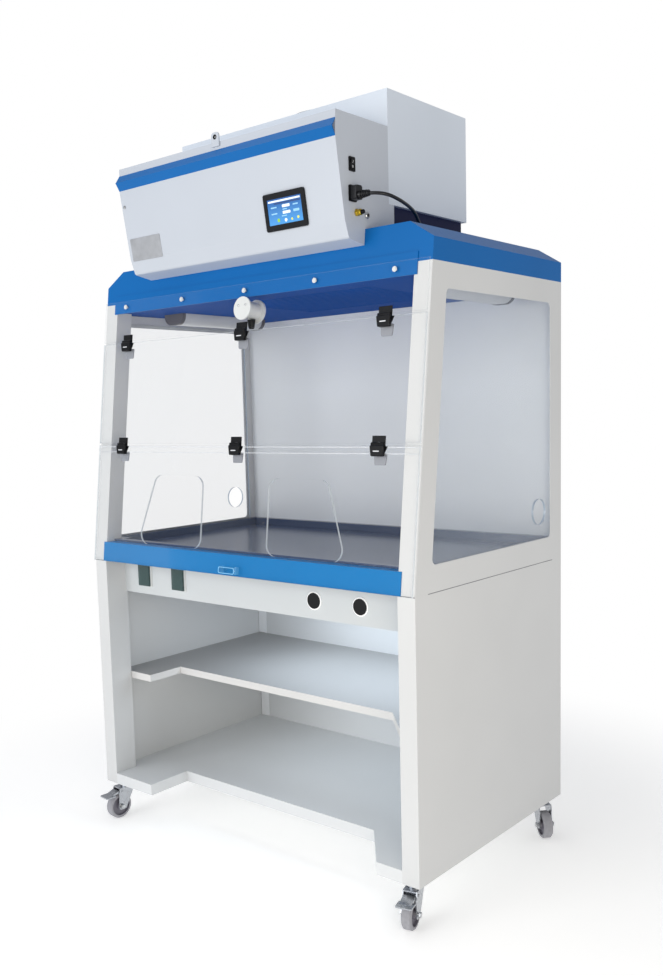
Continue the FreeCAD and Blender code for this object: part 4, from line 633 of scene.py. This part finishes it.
def make_piece(name, grids, material, body):
    """One mesh from point grids: cell (i, j) joins the points (i, j), (i, j+1), (i+1, j+1) and (i+1, j)."""
    corners, cells, start = [], [], 0
    for grid in grids:
        index = start + np.arange(grid.shape[0] * grid.shape[1]).reshape(grid.shape[:2])
        cell = np.stack([index[:-1, :-1], index[:-1, 1:], index[1:, 1:], index[1:, :-1]], -1)
        cells.append(cell.reshape(-1, 4))
        corners.append(grid.reshape(-1, 3))
        start += index.size
    mesh = bpy.data.meshes.new(name)
    mesh.from_pydata(np.concatenate(corners).tolist(), [], np.concatenate(cells).tolist())
    welded = bmesh.new()
    welded.from_mesh(mesh)
    bmesh.ops.remove_doubles(welded, verts=welded.verts, dist=WELD)
    bmesh.ops.dissolve_degenerate(welded, edges=welded.edges, dist=WELD)
    bmesh.ops.recalc_face_normals(welded, faces=welded.faces)
    welded.to_mesh(mesh)
    welded.free()
    mesh.shade_smooth()
    mesh.set_sharp_from_angle(angle=SOFT_BELOW)
    mesh.materials.append(material)
    piece = bpy.data.objects.new(name, mesh)
    scene.collection.objects.link(piece)
    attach(piece, body)
    print(name, len(mesh.polygons), "faces")
    return piece


print("meshes are welded below", WELD, "m")

# %% Turned parts
def axes_for(out, hint=(0, 0, 1)):
    """Three unit rows: across, up and out, square to each other, with up as near as can be to the hint, or to
    +Y where out lies along the hint."""
    out = np.array(out, float) / np.linalg.norm(out)
    hint = (0, 1, 0) if abs(np.dot(hint, out)) > 0.99 else hint
    up = np.array(hint, float) - out * np.dot(hint, out)
    up /= np.linalg.norm(up)
    return np.stack([np.cross(up, out), up, out])


def turned_part(profile, place, out, sides=24):
    """Grid of a profile of (radius, height) rows in mm, carried round the line through place along out."""
    profile = np.array(profile, float) * MM
    angle = np.linspace(0, 2 * math.pi, sides + 1)
    ring = np.stack([np.cos(angle), np.sin(angle)], -1)
    flat = profile[:, None, :1] * ring[None]
    local = np.concatenate([flat, np.broadcast_to(profile[:, None, 1:], (*flat.shape[:2], 1))], -1)
    return np.array(place) + local @ axes_for(out)


def knob(radius, start, rim, edge_radius, top):
    """Profile of a closed button in mm: flat below at start, straight up to rim, in to edge_radius at top."""
    return [(0, start), (radius, start), (radius, rim), (edge_radius, top), (0, top)]


print("a knob's profile", knob(4.5, 12.8, 18.5, 3.5, 19.5))

# %% Flat parts
def rounded_outline(width, height, radius, steps=5):
    """Closed ring of (x, y) in mm: four arcs, each at its corner's centre plus radius times (cos, sin)."""
    quarter = np.linspace(0, math.pi / 2, steps)
    angle = np.concatenate([quarter + k * math.pi / 2 for k in range(4)])
    middle = (width / 2 - radius, height / 2 - radius)
    corners = np.repeat([(1, 1), (-1, 1), (-1, -1), (1, -1)], steps, 0) * middle
    ring = corners + radius * np.stack([np.cos(angle), np.sin(angle)], -1)
    return np.concatenate([ring, ring[:1]])


def level(outline, height):
    """An outline of (x, y) rows lifted to one height."""
    return np.column_stack([outline, np.full(len(outline), height)])


def flat_part(outline, heights, insets, place, out, hint=(0, 0, 1)):
    """Grid of an outline stacked through heights, drawn in by insets, and closed to its middle at both ends."""
    size = np.abs(outline).max(0)
    rows = [level(outline * 0.0, heights[0])]
    rows += [level(outline * (1 - inset / size), height) for height, inset in zip(heights, insets)]
    rows.append(level(outline * 0.0, heights[-1]))
    return np.array(place) + np.stack(rows) * MM @ axes_for(out, hint)


def thin_plate(outline, lift, thickness, place, out, hint=(0, 0, 1)):
    """Grid of a flat part with square edges, whose lower side is lifted off its place."""
    return flat_part(outline, (lift, lift + thickness), (0, 0), place, out, hint)


def ring_part(outline, border, thickness, place, out):
    """Grid of a flat ring: an outline and the same drawn in by its border, at both ends of the thickness."""
    inner = outline * (1 - border / np.abs(outline).max(0))
    around = ((inner, 0), (outline, 0), (outline, thickness), (inner, thickness), (inner, 0))
    rows = [level(ring, height) for ring, height in around]
    return np.array(place) + np.stack(rows) * MM @ axes_for(out)


print("outline points", len(rounded_outline(10, 10, 2)))

# %% Finding a surface
def struck(name, start, way):
    """The first point of a CAD node that a ray from start along way meets, and which way the surface looks."""
    hit, point, normal, _ = nodes[name].ray_cast(Vector(start), Vector(way))
    if not hit:
        raise RuntimeError(f"the ray misses {name}")
    return np.array(point), np.array(normal)


def middle_of(name):
    """The middle of a node's box, as an array."""
    low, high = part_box(name)
    return np.array((low + high) / 2)


FRONT_ON, FROM_RIGHT = (0, 1, 0), (-1, 0, 0)
AHEAD, BEHIND, RIGHT, UP = (0, -1, 0), (0, 1, 0), (1, 0, 0), (0, 0, 1)
print("the cowl's face at", struck("cowl", (0, -1, 1.5), FRONT_ON)[0].round(4))

# %% [markdown]
# ## What the screen shows
#
# A white bar on top, two readouts in the middle and a row of round keys below, all blank. They are
# thin plates on the glass, lit a little from within, because a pattern in the glass would need
# one node per shape.

# %% Lit pixels
lit_white = moulded("lit_white_pixels", "#dfe8ee", 0.3, glow=0.25)
lit_pale = moulded("lit_pale_blue_pixels", "#8fc4e4", 0.3, glow=0.2)
lit_green = moulded("lit_green_pixels", "#8fc43c", 0.3, glow=0.15)
lit_yellow = moulded("lit_yellow_pixels", "#d6d970", 0.3, glow=0.15)
dark_band = moulded("dark_blue_pixels", "#173f78", 0.3, glow=0.15)
glass_low, glass_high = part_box("screen_glass")
glass_wide = (glass_high.x - glass_low.x) / MM
glass_tall = (glass_high - glass_low).dot(screen_up) / MM
ON_GLASS, PIXEL_THICK = 0.05, 0.25


def pixels(name, material, shapes):
    """Thin rounded plates on the glass, each given as (x, y, width, height, corner) in mm from its middle."""
    grids = []
    for x, y, width, height, corner in shapes:
        place = np.array(screen_at + (screen_across * x + screen_up * y + screen_facing * ON_GLASS) * MM)
        grids.append(thin_plate(rounded_outline(width, height, corner), 0, PIXEL_THICK, place, screen_facing))
    make_piece(name, grids, material, "cabinet")


print("glass", round(glass_wide, 1), "by", round(glass_tall, 1), "mm")

# %% Screen image
pixels("screen_top_bar", lit_white, [(0, glass_tall * 0.43, glass_wide * 0.94, 3.6, 0.8)])
pixels("screen_dark_bar", dark_band, [(8, glass_tall * 0.33, glass_wide * 0.76, 3.2, 0.8)])
pixels("screen_readouts", lit_white, [(4, 9.5, 21, 5.6, 1.2), (4, -3.5, 21, 5.6, 1.2), (0, -19, 7, 7, 3.4)])
pixels("screen_side_readouts", lit_pale,
       [(-30, 9, 16, 2.6, 0.6), (-30, -3.5, 16, 2.6, 0.6), (30, 9, 14, 2.6, 0.6), (31, -3, 16, 5.0, 1.0),
        (0, 3, 12, 2.0, 0.5), (-3, -10, 14, 2.0, 0.5)])
pixels("screen_green_keys", lit_green, [(-20, -17.5, 7.5, 7.5, 3.7)])
pixels("screen_yellow_keys", lit_yellow, [(34, -17.5, 6, 6, 2.9), (17, -19, 5, 5, 2.4)])

# %% [markdown]
# ## Hinge covers
#
# Each hinge half is a nylon block with a cover clipped over its screws. The lower cover is the larger one,
# tapers downwards and carries a pale strip across its middle, a painted highlight. Just below the cover,
# behind the clear sheet, a grey plate stands for the cover's reflection in the sheet: a painted
# reflection. The covers ride on the panel that their leaf is screwed to.

# %% Covers, painted highlights and painted reflections
# grey nylon of the socket faces, also used for the grey plates that paint each hinge cover's reflection
grey_nylon_and_painted_reflection = moulded("grey_moulded_nylon_and_painted_reflection", "#92959d", 0.4)
# pale nylon colour for a strip across each lower cover: painted highlight
hinge_highlight_paint = moulded("painted_highlight_pale_nylon", "#d9dbe0", 0.4)
COVER_WIDE, COVER_TALL, COVER_TAPER = 36, 22, 0.22
REFLECTION_WIDE, REFLECTION_TALL, REFLECTION_TAPER = 32, 24, 0.15
HIGHLIGHT_WIDE, HIGHLIGHT_TALL = 15, 2.2
OUTER_FROM_END, BELOW_LEAF = 0.0215, 0.0085
HIGHLIGHT_DOWN, REFLECTION_DOWN, SHEET_BEHIND = 0.001, 0.016, 0.0053


def tapered(outline, shrink):
    """The outline with its x narrowed towards its lower edge: x times 1 - shrink * (how far down it is)."""
    down = (outline[:, 1].max() - outline[:, 1]) / np.ptp(outline[:, 1])
    return np.column_stack([outline[:, 0] * (1 - shrink * down), outline[:, 1]])


cover_outline = tapered(rounded_outline(COVER_WIDE, COVER_TALL, 2.5), COVER_TAPER)
reflection_outline = tapered(rounded_outline(REFLECTION_WIDE, REFLECTION_TALL, 3), REFLECTION_TAPER)
highlight_outline = rounded_outline(HIGHLIGHT_WIDE, HIGHLIGHT_TALL, 1)
for hinge_row, sheet, body in (("top", "upper_sash", "upper_panel"), ("mid", "lower_sash", "lower_panel")):
    leaf_low, leaf_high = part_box(f"hinge_{hinge_row}_lower")
    centre, facing = front_of(sheet)
    _, up, out = axes_for(facing)
    side = (leaf_high.x - leaf_low.x) / 2 - OUTER_FROM_END
    drop = (leaf_low.z - BELOW_LEAF + COVER_TALL / 2 * MM - centre.z) / up[2]
    covers, highlight_strips, reflection_plates = [], [], []
    for x in (-side, 0.0, side):
        base = np.array(centre) + up * drop
        base[0] = (leaf_low.x + leaf_high.x) / 2 + x
        covers.append(flat_part(cover_outline, (0.3, 8.5, 9.8), (0, 0, 1.3), base, out))
        # the pale strip on the cover is a painted highlight
        highlight_strips.append(thin_plate(highlight_outline, 9.9, 0.5, base - up * HIGHLIGHT_DOWN, out))
        # painted reflection: a grey plate behind the sheet just below the cover stands for the cover's
        # reflection
        behind = base - up * REFLECTION_DOWN - out * SHEET_BEHIND
        reflection_plates.append(flat_part(reflection_outline, (0.3, 2.8, 3.4), (0, 0, 0.6), behind, -out))
    make_piece("hinge_covers_" + hinge_row, covers, black_nylon, body)
    make_piece("hinge_highlights_" + hinge_row, highlight_strips, hinge_highlight_paint, body)
    make_piece("hinge_reflections_" + hinge_row, reflection_plates, grey_nylon_and_painted_reflection, body)

# %% [markdown]
# ## The outline of the pull
#
# The finger pull at the foot of the sash is clear, so only its bent edges are seen, as a pale blue outline
# before the sill: a painted highlight of the light in those edges, drawn faintly glowing. A thin ring between
# two rounded outlines draws it, and it rides with the lower panel.

# %% Pull outline
PULL_WIDE, PULL_TALL, PULL_CORNER = 50, 14.5, 4
LINE_WIDE, LINE_THICK, LINE_LIFT = 1.3, 0.5, 0.2
pull_mid = middle_of("sash_pull")
_, pull_facing = front_of("sash_pull")
pull_at, _ = struck("sash_pull", (pull_mid[0], -1, pull_mid[2]), FRONT_ON)
# painted highlight: the edge outline glows a little, though it is no lamp
pull_edge_highlight = moulded("pale_blue_painted_edge_highlight", "#8fd0f4", 0.25, 6.0, 0.02, glow=0.08)
pull_line = ring_part(rounded_outline(PULL_WIDE, PULL_TALL, PULL_CORNER), LINE_WIDE, LINE_THICK,
                      pull_at + np.array(pull_facing) * LINE_LIFT * MM, pull_facing)
make_piece("pull_outline", [pull_line], pull_edge_highlight, "lower_panel")

# %% [markdown]
# ## Edge strips of the sash
#
# Where two clear panels meet, their cut edges collect light and show as pale lines right across the
# hood. A strip as thin as a hair on the lower panel stands for each polished edge and its reflection, and
# rides with the panel.

# %% Sash edges
STRIPS_DOWN, STRIP, STRIP_SHORTER = (0.0035, 0.0165), 1.6, 4
edge_light = moulded("polished_polycarbonate_edge", "#e6eaee", 0.2, 6.0, 0.02, 0.7)
sash_centre, sash_facing = front_of("lower_sash")
_, sash_up, sash_out = axes_for(sash_facing)
sash_low, sash_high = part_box("lower_sash")
edge_outline = rounded_outline((sash_high.x - sash_low.x) / MM - STRIP_SHORTER, STRIP, 0.7, 3)
strips = []
for down in STRIPS_DOWN:
    at = np.array(sash_centre) + sash_up * (sash_high.z - down - sash_centre.z) / sash_up[2]
    at[0] = (sash_low.x + sash_high.x) / 2
    strips.append(thin_plate(edge_outline, 0.1, 0.3, at, sash_out))
make_piece("sash_edges", strips, edge_light, "lower_panel")

# %% [markdown]
# ## Plate, latch and terminal
#
# A blank satin plate sits low on the left of the head's face, with the button of a latch above it. Beside
# the inlet are an earth terminal, a turned brass nut under a black cap, and the steel ring of a fuse. For
# the plate and the latch a ray is cast at the face to find the place, so that they sit on the steel; the
# terminal and the fuse are set on the cover's right side.

# %% Plate and latch
PLATE_AHEAD, LATCH_AHEAD = (-0.268, -1, 1.453), (-0.321, -1, 1.552)
plate_silver = bare_metal("brushed_anodised_aluminium", "#b4b6ba", 0.42, 14)
plate_at, plate_out = struck("cowl", PLATE_AHEAD, FRONT_ON)
plate_grid = flat_part(rounded_outline(106, 52, 2), (0.1, 0.8, 1.1), (0, 0, 0.3), plate_at, plate_out)
make_piece("blank_plate", [plate_grid], plate_silver, "cabinet")
latch_at, latch_out = struck("cowl", LATCH_AHEAD, FRONT_ON)
latch_profile = [(0, 0.2), (4, 0.2), (4, 1.6), (3, 2.4), (0, 2.6)]
make_piece("latch_button", [turned_part(latch_profile, latch_at, latch_out)], stainless, "cabinet")

# %% Terminal and fuse
TERMINAL_BACK, FUSE_BACK = 0.060, 0.094
terminal = (cowl_right, front + TERMINAL_BACK, roof + 0.0285)
fuse = (cowl_right, front + FUSE_BACK, roof + 0.0275)
make_piece("earth_nut", [turned_part(knob(7.5, 0.3, 4.5, 6.5, 5.2), terminal, RIGHT, 6),
                         turned_part(knob(6.2, 5, 12, 5, 13), terminal, RIGHT)], brass, "cabinet")
make_piece("earth_cap", [turned_part(knob(4.5, 12.8, 18.5, 3.5, 19.5), terminal, RIGHT)],
           black_nylon, "cabinet")
fuse_profile = [(3.5, 0.3), (6.8, 0.3), (6.8, 3), (5.8, 4), (3.5, 4), (3.5, 0.3)]
make_piece("fuse_ring", [turned_part(fuse_profile, fuse, RIGHT)], stainless, "cabinet")
make_piece("fuse_cap", [turned_part([(0, 0.3), (3.3, 0.3), (3.3, 3), (0, 3)], fuse, RIGHT)],
           black_nylon, "cabinet")

# %% [markdown]
# ## Rear plates of the head
#
# The head's cover is open at the back, where the blower box slides in. Beside the box and beside its
# dark plinth plain plates close it, so that nobody looks into the wiring. Each is one sheet, laid a
# millimetre inside the cover's rear edge.

# %% Rear plates
PLATE, WALL, GAP = 1.2, 0.0021, 0.0002
cowl_low, cowl_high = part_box("cowl")
box_low, box_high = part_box("blower_box")
plinth_low, plinth_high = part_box("plinth")


def close_off(x_low, x_high, z_low, z_high, y):
    """An upright sheet between two heights, with its rear face just in front of y."""
    outline = rounded_outline((x_high - x_low) / MM, (z_high - z_low) / MM, 0.3, 2)
    place = ((x_low + x_high) / 2, y - (PLATE + 0.3) * MM, (z_low + z_high) / 2)
    return thin_plate(outline, 0, PLATE, place, BEHIND)


ledge_wide, ledge_deep = box_low.x - cowl_low.x - WALL - 2 * GAP, cowl_high.y - box_low.y - 0.001
ledge_at = ((cowl_low.x + WALL + box_low.x) / 2, (box_low.y + plinth_low.y) / 2, box_low.z - PLATE * MM)
plates = [close_off(cowl_low.x + WALL, box_low.x - GAP, box_low.z, cowl_high.z - WALL, box_low.y),
          close_off(cowl_low.x + WALL, plinth_low.x - GAP, roof + GAP, box_low.z - GAP, cowl_high.y),
          close_off(plinth_high.x + GAP, cowl_high.x - WALL, roof + GAP, box_low.z - GAP, cowl_high.y),
          thin_plate(rounded_outline(ledge_wide / MM, ledge_deep / MM, 0.3, 2), 0, PLATE, ledge_at, UP)]
make_piece("head_rear_plates", plates, head_coat, "cabinet")

# %% [markdown]
# ## The eye of the lug
#
# The tab on top of the head has a hole for a hook or a safety chain. A black nylon grommet lines it and
# keeps the chain off the paint. It is one profile turned round the hole.

# %% Lug eye
EYE, EYE_DOWN, OPENING = 4.0, 0.010, 3.0
lug_low, lug_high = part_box("lifting_lug")
eye_at = ((lug_low.x + lug_high.x) / 2, lug_low.y, lug_high.z - EYE_DOWN)
grommet = [(OPENING, -3.1), (EYE - 0.1, -3.1), (EYE - 0.1, 0.1), (EYE + 1.2, 0.1), (EYE + 1.2, 0.6), (EYE, 1),
           (OPENING, 1), (OPENING, -3.1)]
make_piece("lug_eye", [turned_part(grommet, eye_at, AHEAD, 32)], black_nylon, "cabinet")

# %% [markdown]
# ## Sockets, plugs and rear flanges
#
# Behind the smoked lids the sockets are plain faces with three slots. The blanking plugs of the cable
# holes sit in white snap rings, which glow a little: painted light. Inside the bay the rear corners show the
# folded flange of each side, drawn a brighter white than the sides: a painted highlight. All three are flat
# or turned parts, so the same functions serve again.

# %% Sockets
SLOTS = ((-0.0065, 0.006, 0.5), (0.0065, 0.006, -0.5), (0, -0.009, 0.0))
socket_faces, socket_slots = [], []
for name in ("socket_cover_left", "socket_cover_right"):
    low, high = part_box(name)
    middle = np.array([(low.x + high.x) / 2, 0, (low.z + high.z) / 2])
    well_floor, _ = struck("socket_frames", (middle[0] + 0.016, low.y + 0.008, middle[2] + 0.020), FRONT_ON)
    middle[1] = min(well_floor[1], low.y + 0.022) - 0.0005
    socket_faces.append(flat_part(rounded_outline(31, 46, 3), (0, 1.5, 2), (0, 0, 0.5), middle, AHEAD))
    for x, z, lean in SLOTS:
        upright = (math.sin(lean), 0, math.cos(lean))
        slot = rounded_outline(2.4, 8.5, 0.6)
        socket_slots.append(thin_plate(slot, 2.1, 0.5, middle + (x, 0, z), AHEAD, upright))
make_piece("socket_faces", socket_faces, grey_nylon_and_painted_reflection, "cabinet")
make_piece("socket_slots", socket_slots, black_nylon, "cabinet")

# %% Snap rings
apron_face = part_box("apron")[0].y
plugs_low, plugs_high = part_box("hole_plugs")
plug_radius = (plugs_high.z - plugs_low.z) / 2
edge = plug_radius / MM + 0.2
ring_profile = [(edge, 0), (edge + 3, 0), (edge + 3, 1.2), (edge + 1.5, 2), (edge, 1.2), (edge, 0)]
rings = [turned_part(ring_profile, (x, apron_face - 0.0001, (plugs_low.z + plugs_high.z) / 2), AHEAD, 48)
         for x in (plugs_low.x + plug_radius, plugs_high.x - plug_radius)]
# white nylon rings that glow a little, though they are no lamp: painted light
glowing_snap_white = moulded("glowing_white_moulded_nylon", "#fbfbfa", 0.3, glow=0.12)
make_piece("plug_rings", rings, glowing_snap_white, "cabinet")

# %% Rear flanges
FLANGE_X, FLANGE_WIDE = 0.481, 30
back_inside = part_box("stand_back")[0].y
bays = ((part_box("low_shelf")[1].z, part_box("mid_shelf")[0].z), (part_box("mid_shelf")[1].z, worktop_low))
flanges = [flat_part(rounded_outline(FLANGE_WIDE, (high - low) / MM - 2, 0.5, 2), (0.3, 1.6, 2), (0, 0, 0.4),
                     (x, back_inside, (low + high) / 2), AHEAD)
           for x in (-FLANGE_X, FLANGE_X) for low, high in bays]
# brighter white than the side sheets they fold from: painted highlight
make_piece("rear_flanges", flanges, flange_highlight_coat, "cabinet")

# %% [markdown]
# ## Relief ribs and strap
#
# The strain relief is moulded in ribs that get smaller towards the lead, so that it bends evenly. The
# coil is held by a woven strap, a flat loop round one side of the turns. Each rib is a turned
# profile, and the strap is an outline carried round its own four corners.

# %% Relief ribs
RIB_GIRTHS = (8.2, 7.8, 7.3, 6.8, 6.3)
RIB_FROM, RIB_PITCH, RIB_DEEP = 0.0005, 0.0042, 2.2
ribs = []
for step, girth in enumerate(RIB_GIRTHS):
    root = girth - RIB_DEEP
    profile = [(root, -1.3), (girth, -0.9), (girth, 0.9), (root, 1.3), (root, -1.3)]
    ribs.append(turned_part(profile, lead_line[0] + (RIB_FROM + RIB_PITCH * step, 0, 0), RIGHT))
make_piece("relief_ribs", ribs, pvc, "cabinet")

# %% Coil strap
STRAP_THICK, STRAP_HALF = 0.7, 0.008
STRAP_WIDE, STRAP_TALL = 26.5, 16.0
STRAP_AT = math.radians(200)
strap_out = np.array([math.cos(STRAP_AT), math.sin(STRAP_AT), 0])
strap_along = np.array([-math.sin(STRAP_AT), math.cos(STRAP_AT), 0])
coil_middle = np.array([COIL_CENTRE[0], front + COIL_CENTRE[1], lead_up + LEAD / 2 + 0.0009])
inner = rounded_outline(STRAP_WIDE, STRAP_TALL, 6, 7)
outer = inner * (1 + 2 * STRAP_THICK / np.array([STRAP_WIDE, STRAP_TALL]))
strap_middle = coil_middle + strap_out * (COIL_INNER + LEAD)
loop = [(inner, -1), (inner, 1), (outer, 1), (outer, -1), (inner, -1)]
strap = [strap_middle + (ring * MM) @ np.stack([strap_out, UP]) + strap_along * (STRAP_HALF * end)
         for ring, end in loop]
hook_strap = moulded("black_woven_hook_strap", "#0d0e12", 0.7, 2.0, 0.5)
make_piece("coil_strap", [np.stack(strap)], hook_strap, "cabinet")

# %% [markdown]
# ## Screws
#
# Low pan-head screws hold the back sheets, the blower box, the duct collar and the probe. A turned profile of
# a few dozen faces is enough for each, and arrays place them in rows and in a circle.

# %% Screws of the back
def pan_screws(name, places, out, radius):
    """Pan heads of a radius in mm at the given places, all looking along out: a short rim and a low dome."""
    profile = [(0, 0.2), (radius, 0.2), (radius, 0.9), (radius * 0.72, 1.9), (radius * 0.3, 2.3), (0, 2.3)]
    make_piece(name, [turned_part(profile, place, out, 12) for place in places], stainless, "cabinet")


SIDE_X, MIDDLE_X, BESIDE_JOINT = 0.482, 0.29, (0.674, 0.706)
CHAMBER_ROWS, STAND_ROWS = (0.72, 1.30), (0.12, 0.66)
back_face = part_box("cabin_back")[1].y
rows = [(x, back_face, z) for ends in (CHAMBER_ROWS, STAND_ROWS) for x in (-SIDE_X, SIDE_X)
        for z in np.linspace(*ends, 5)]
rows += [(x, back_face, z) for x in np.linspace(-MIDDLE_X, MIDDLE_X, 3) for z in BESIDE_JOINT]
pan_screws("back_screws", rows, BEHIND, 5.2)

# %% Screws of the head
FROM_EDGE, BOX_MARGIN, BOX_ROW_UP, PROBE_ROW_UP = 0.006, 0.03, 0.014, 0.010
box_row = np.linspace(box_low.x + BOX_MARGIN, box_high.x - BOX_MARGIN, 5)
pan_screws("box_screws", [(x, box_high.y, box_low.z + BOX_ROW_UP) for x in box_row], BEHIND, 4.5)
collar_low, collar_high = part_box("duct_collar")
collar_mid = middle_of("duct_collar")
flange_top, _ = struck("duct_collar", (collar_high.x - FROM_EDGE, collar_mid[1], 2), (0, 0, -1))
around = np.arange(8) * math.pi / 4 + math.pi / 8
ring_radius = (collar_high.x - collar_low.x) / 2 - FROM_EDGE
circle = np.stack([collar_mid[0] + ring_radius * np.cos(around), collar_mid[1] + ring_radius * np.sin(around),
                   np.full(8, flange_top[2])], -1)
pan_screws("collar_screws", circle, UP, 3.6)
probe_row = middle_of("probe")[2] + PROBE_ROW_UP
dots = [struck("probe", (x, -1, probe_row), FRONT_ON) for x in (-0.011, 0.011)]
pan_screws("probe_screws", [place for place, _ in dots], dots[0][1], 2.6)

# %% [markdown]
# ## Seams and marks
#
# The chamber stands on the stand as a separate weldment, and the joint shows all round as a fine
# shaded line. The switch has its two generic marks, a ring and a bar. Both are thin plates, because a
# groove would need the sheet's own mesh, and that belongs to the CAD model.

# %% Sheet seams
SEAM, SEAM_LIFT, SEAM_THICK = 1.4, 0.05, 0.15
SEAM_SHORTER, BACK_SEAM = 90, 996
joint_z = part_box("cabin_side_right")[0].z


def seam(length, place, out):
    """A hair-thin level line of a length in mm on a sheet that looks along out."""
    return thin_plate(rounded_outline(length, SEAM, SEAM / 2.01, 3), SEAM_LIFT, SEAM_THICK, place, out)


side_long = (stand_high.y - stand_low.y) / MM - SEAM_SHORTER
side_mid = (stand_low.y + stand_high.y) / 2
seams = [seam(side_long, (way * stand_high.x, side_mid, joint_z), (way, 0, 0)) for way in (1, -1)]
for name in ("cabin_side_left", "cabin_side_right"):
    post_low, post_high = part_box(name)
    post_mid = (post_low.x + post_high.x) / 2
    seams.append(seam((post_high.x - post_low.x) / MM, (post_mid, post_low.y, joint_z), AHEAD))
seams.append(seam(BACK_SEAM, (0, back_face, joint_z), BEHIND))
seam_grey = powder_coat("shaded_steel_seam", "#6f7278", 0.6)
make_piece("sheet_seams", seams, seam_grey, "cabinet")

# %% Switch marks
RING_UP, BAR_UP = 0.28, 0.74
rocker_low, rocker_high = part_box("rocker")
rocker_mid = middle_of("rocker")
rocker_tall = rocker_high.z - rocker_low.z
mark_places = [struck("rocker", (1, rocker_mid[1], rocker_low.z + rocker_tall * share), FROM_RIGHT)
               for share in (RING_UP, BAR_UP)]
ring_mark = turned_part([(1.6, 0.1), (2.4, 0.1), (2.4, 0.3), (1.6, 0.3), (1.6, 0.1)], *mark_places[0])
bar_mark = thin_plate(rounded_outline(0.9, 5.2, 0.4, 3), 0.1, 0.2, *mark_places[1])
make_piece("switch_marks", [ring_mark, bar_mark], white_nylon, "switch_rocker")

# %% [markdown]
# ## Axle bolts
#
# Each wheel turns on a hexagon bolt with a nut. Both are the same short six-sided profile, put on the two
# sides of the fork. How far out the fork reaches is read from its own points beside the axle, so the heads
# sit on the metal at whatever angle the caster stands. They ride with the fork, and the wheel turns inside.

# %% Axle bolts
BOLT = 6.2
for roll in [j for j in frame["joints"] if j["name"].endswith("_roll")]:
    corner_name = roll["name"][:-5]
    hub, axle = middle_of("caster_wheel_" + corner_name), np.array(roll["axis"])
    wheel_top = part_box("caster_wheel_" + corner_name)[1].z
    fork = nodes["caster_fork_" + corner_name].data.vertices
    points = np.empty(len(fork) * 3)
    fork.foreach_get("co", points)
    points = points.reshape(-1, 3)
    reach = np.abs((points[points[:, 2] < wheel_top - 0.01] - hub) @ axle).max() / MM
    head = knob(BOLT, reach + 0.2, reach + 4.2, BOLT - 0.8, reach + 5)
    make_piece("axle_bolt_" + corner_name, [turned_part(head, hub, axle * way, 6) for way in (1, -1)],
               stainless, roll["parent"])
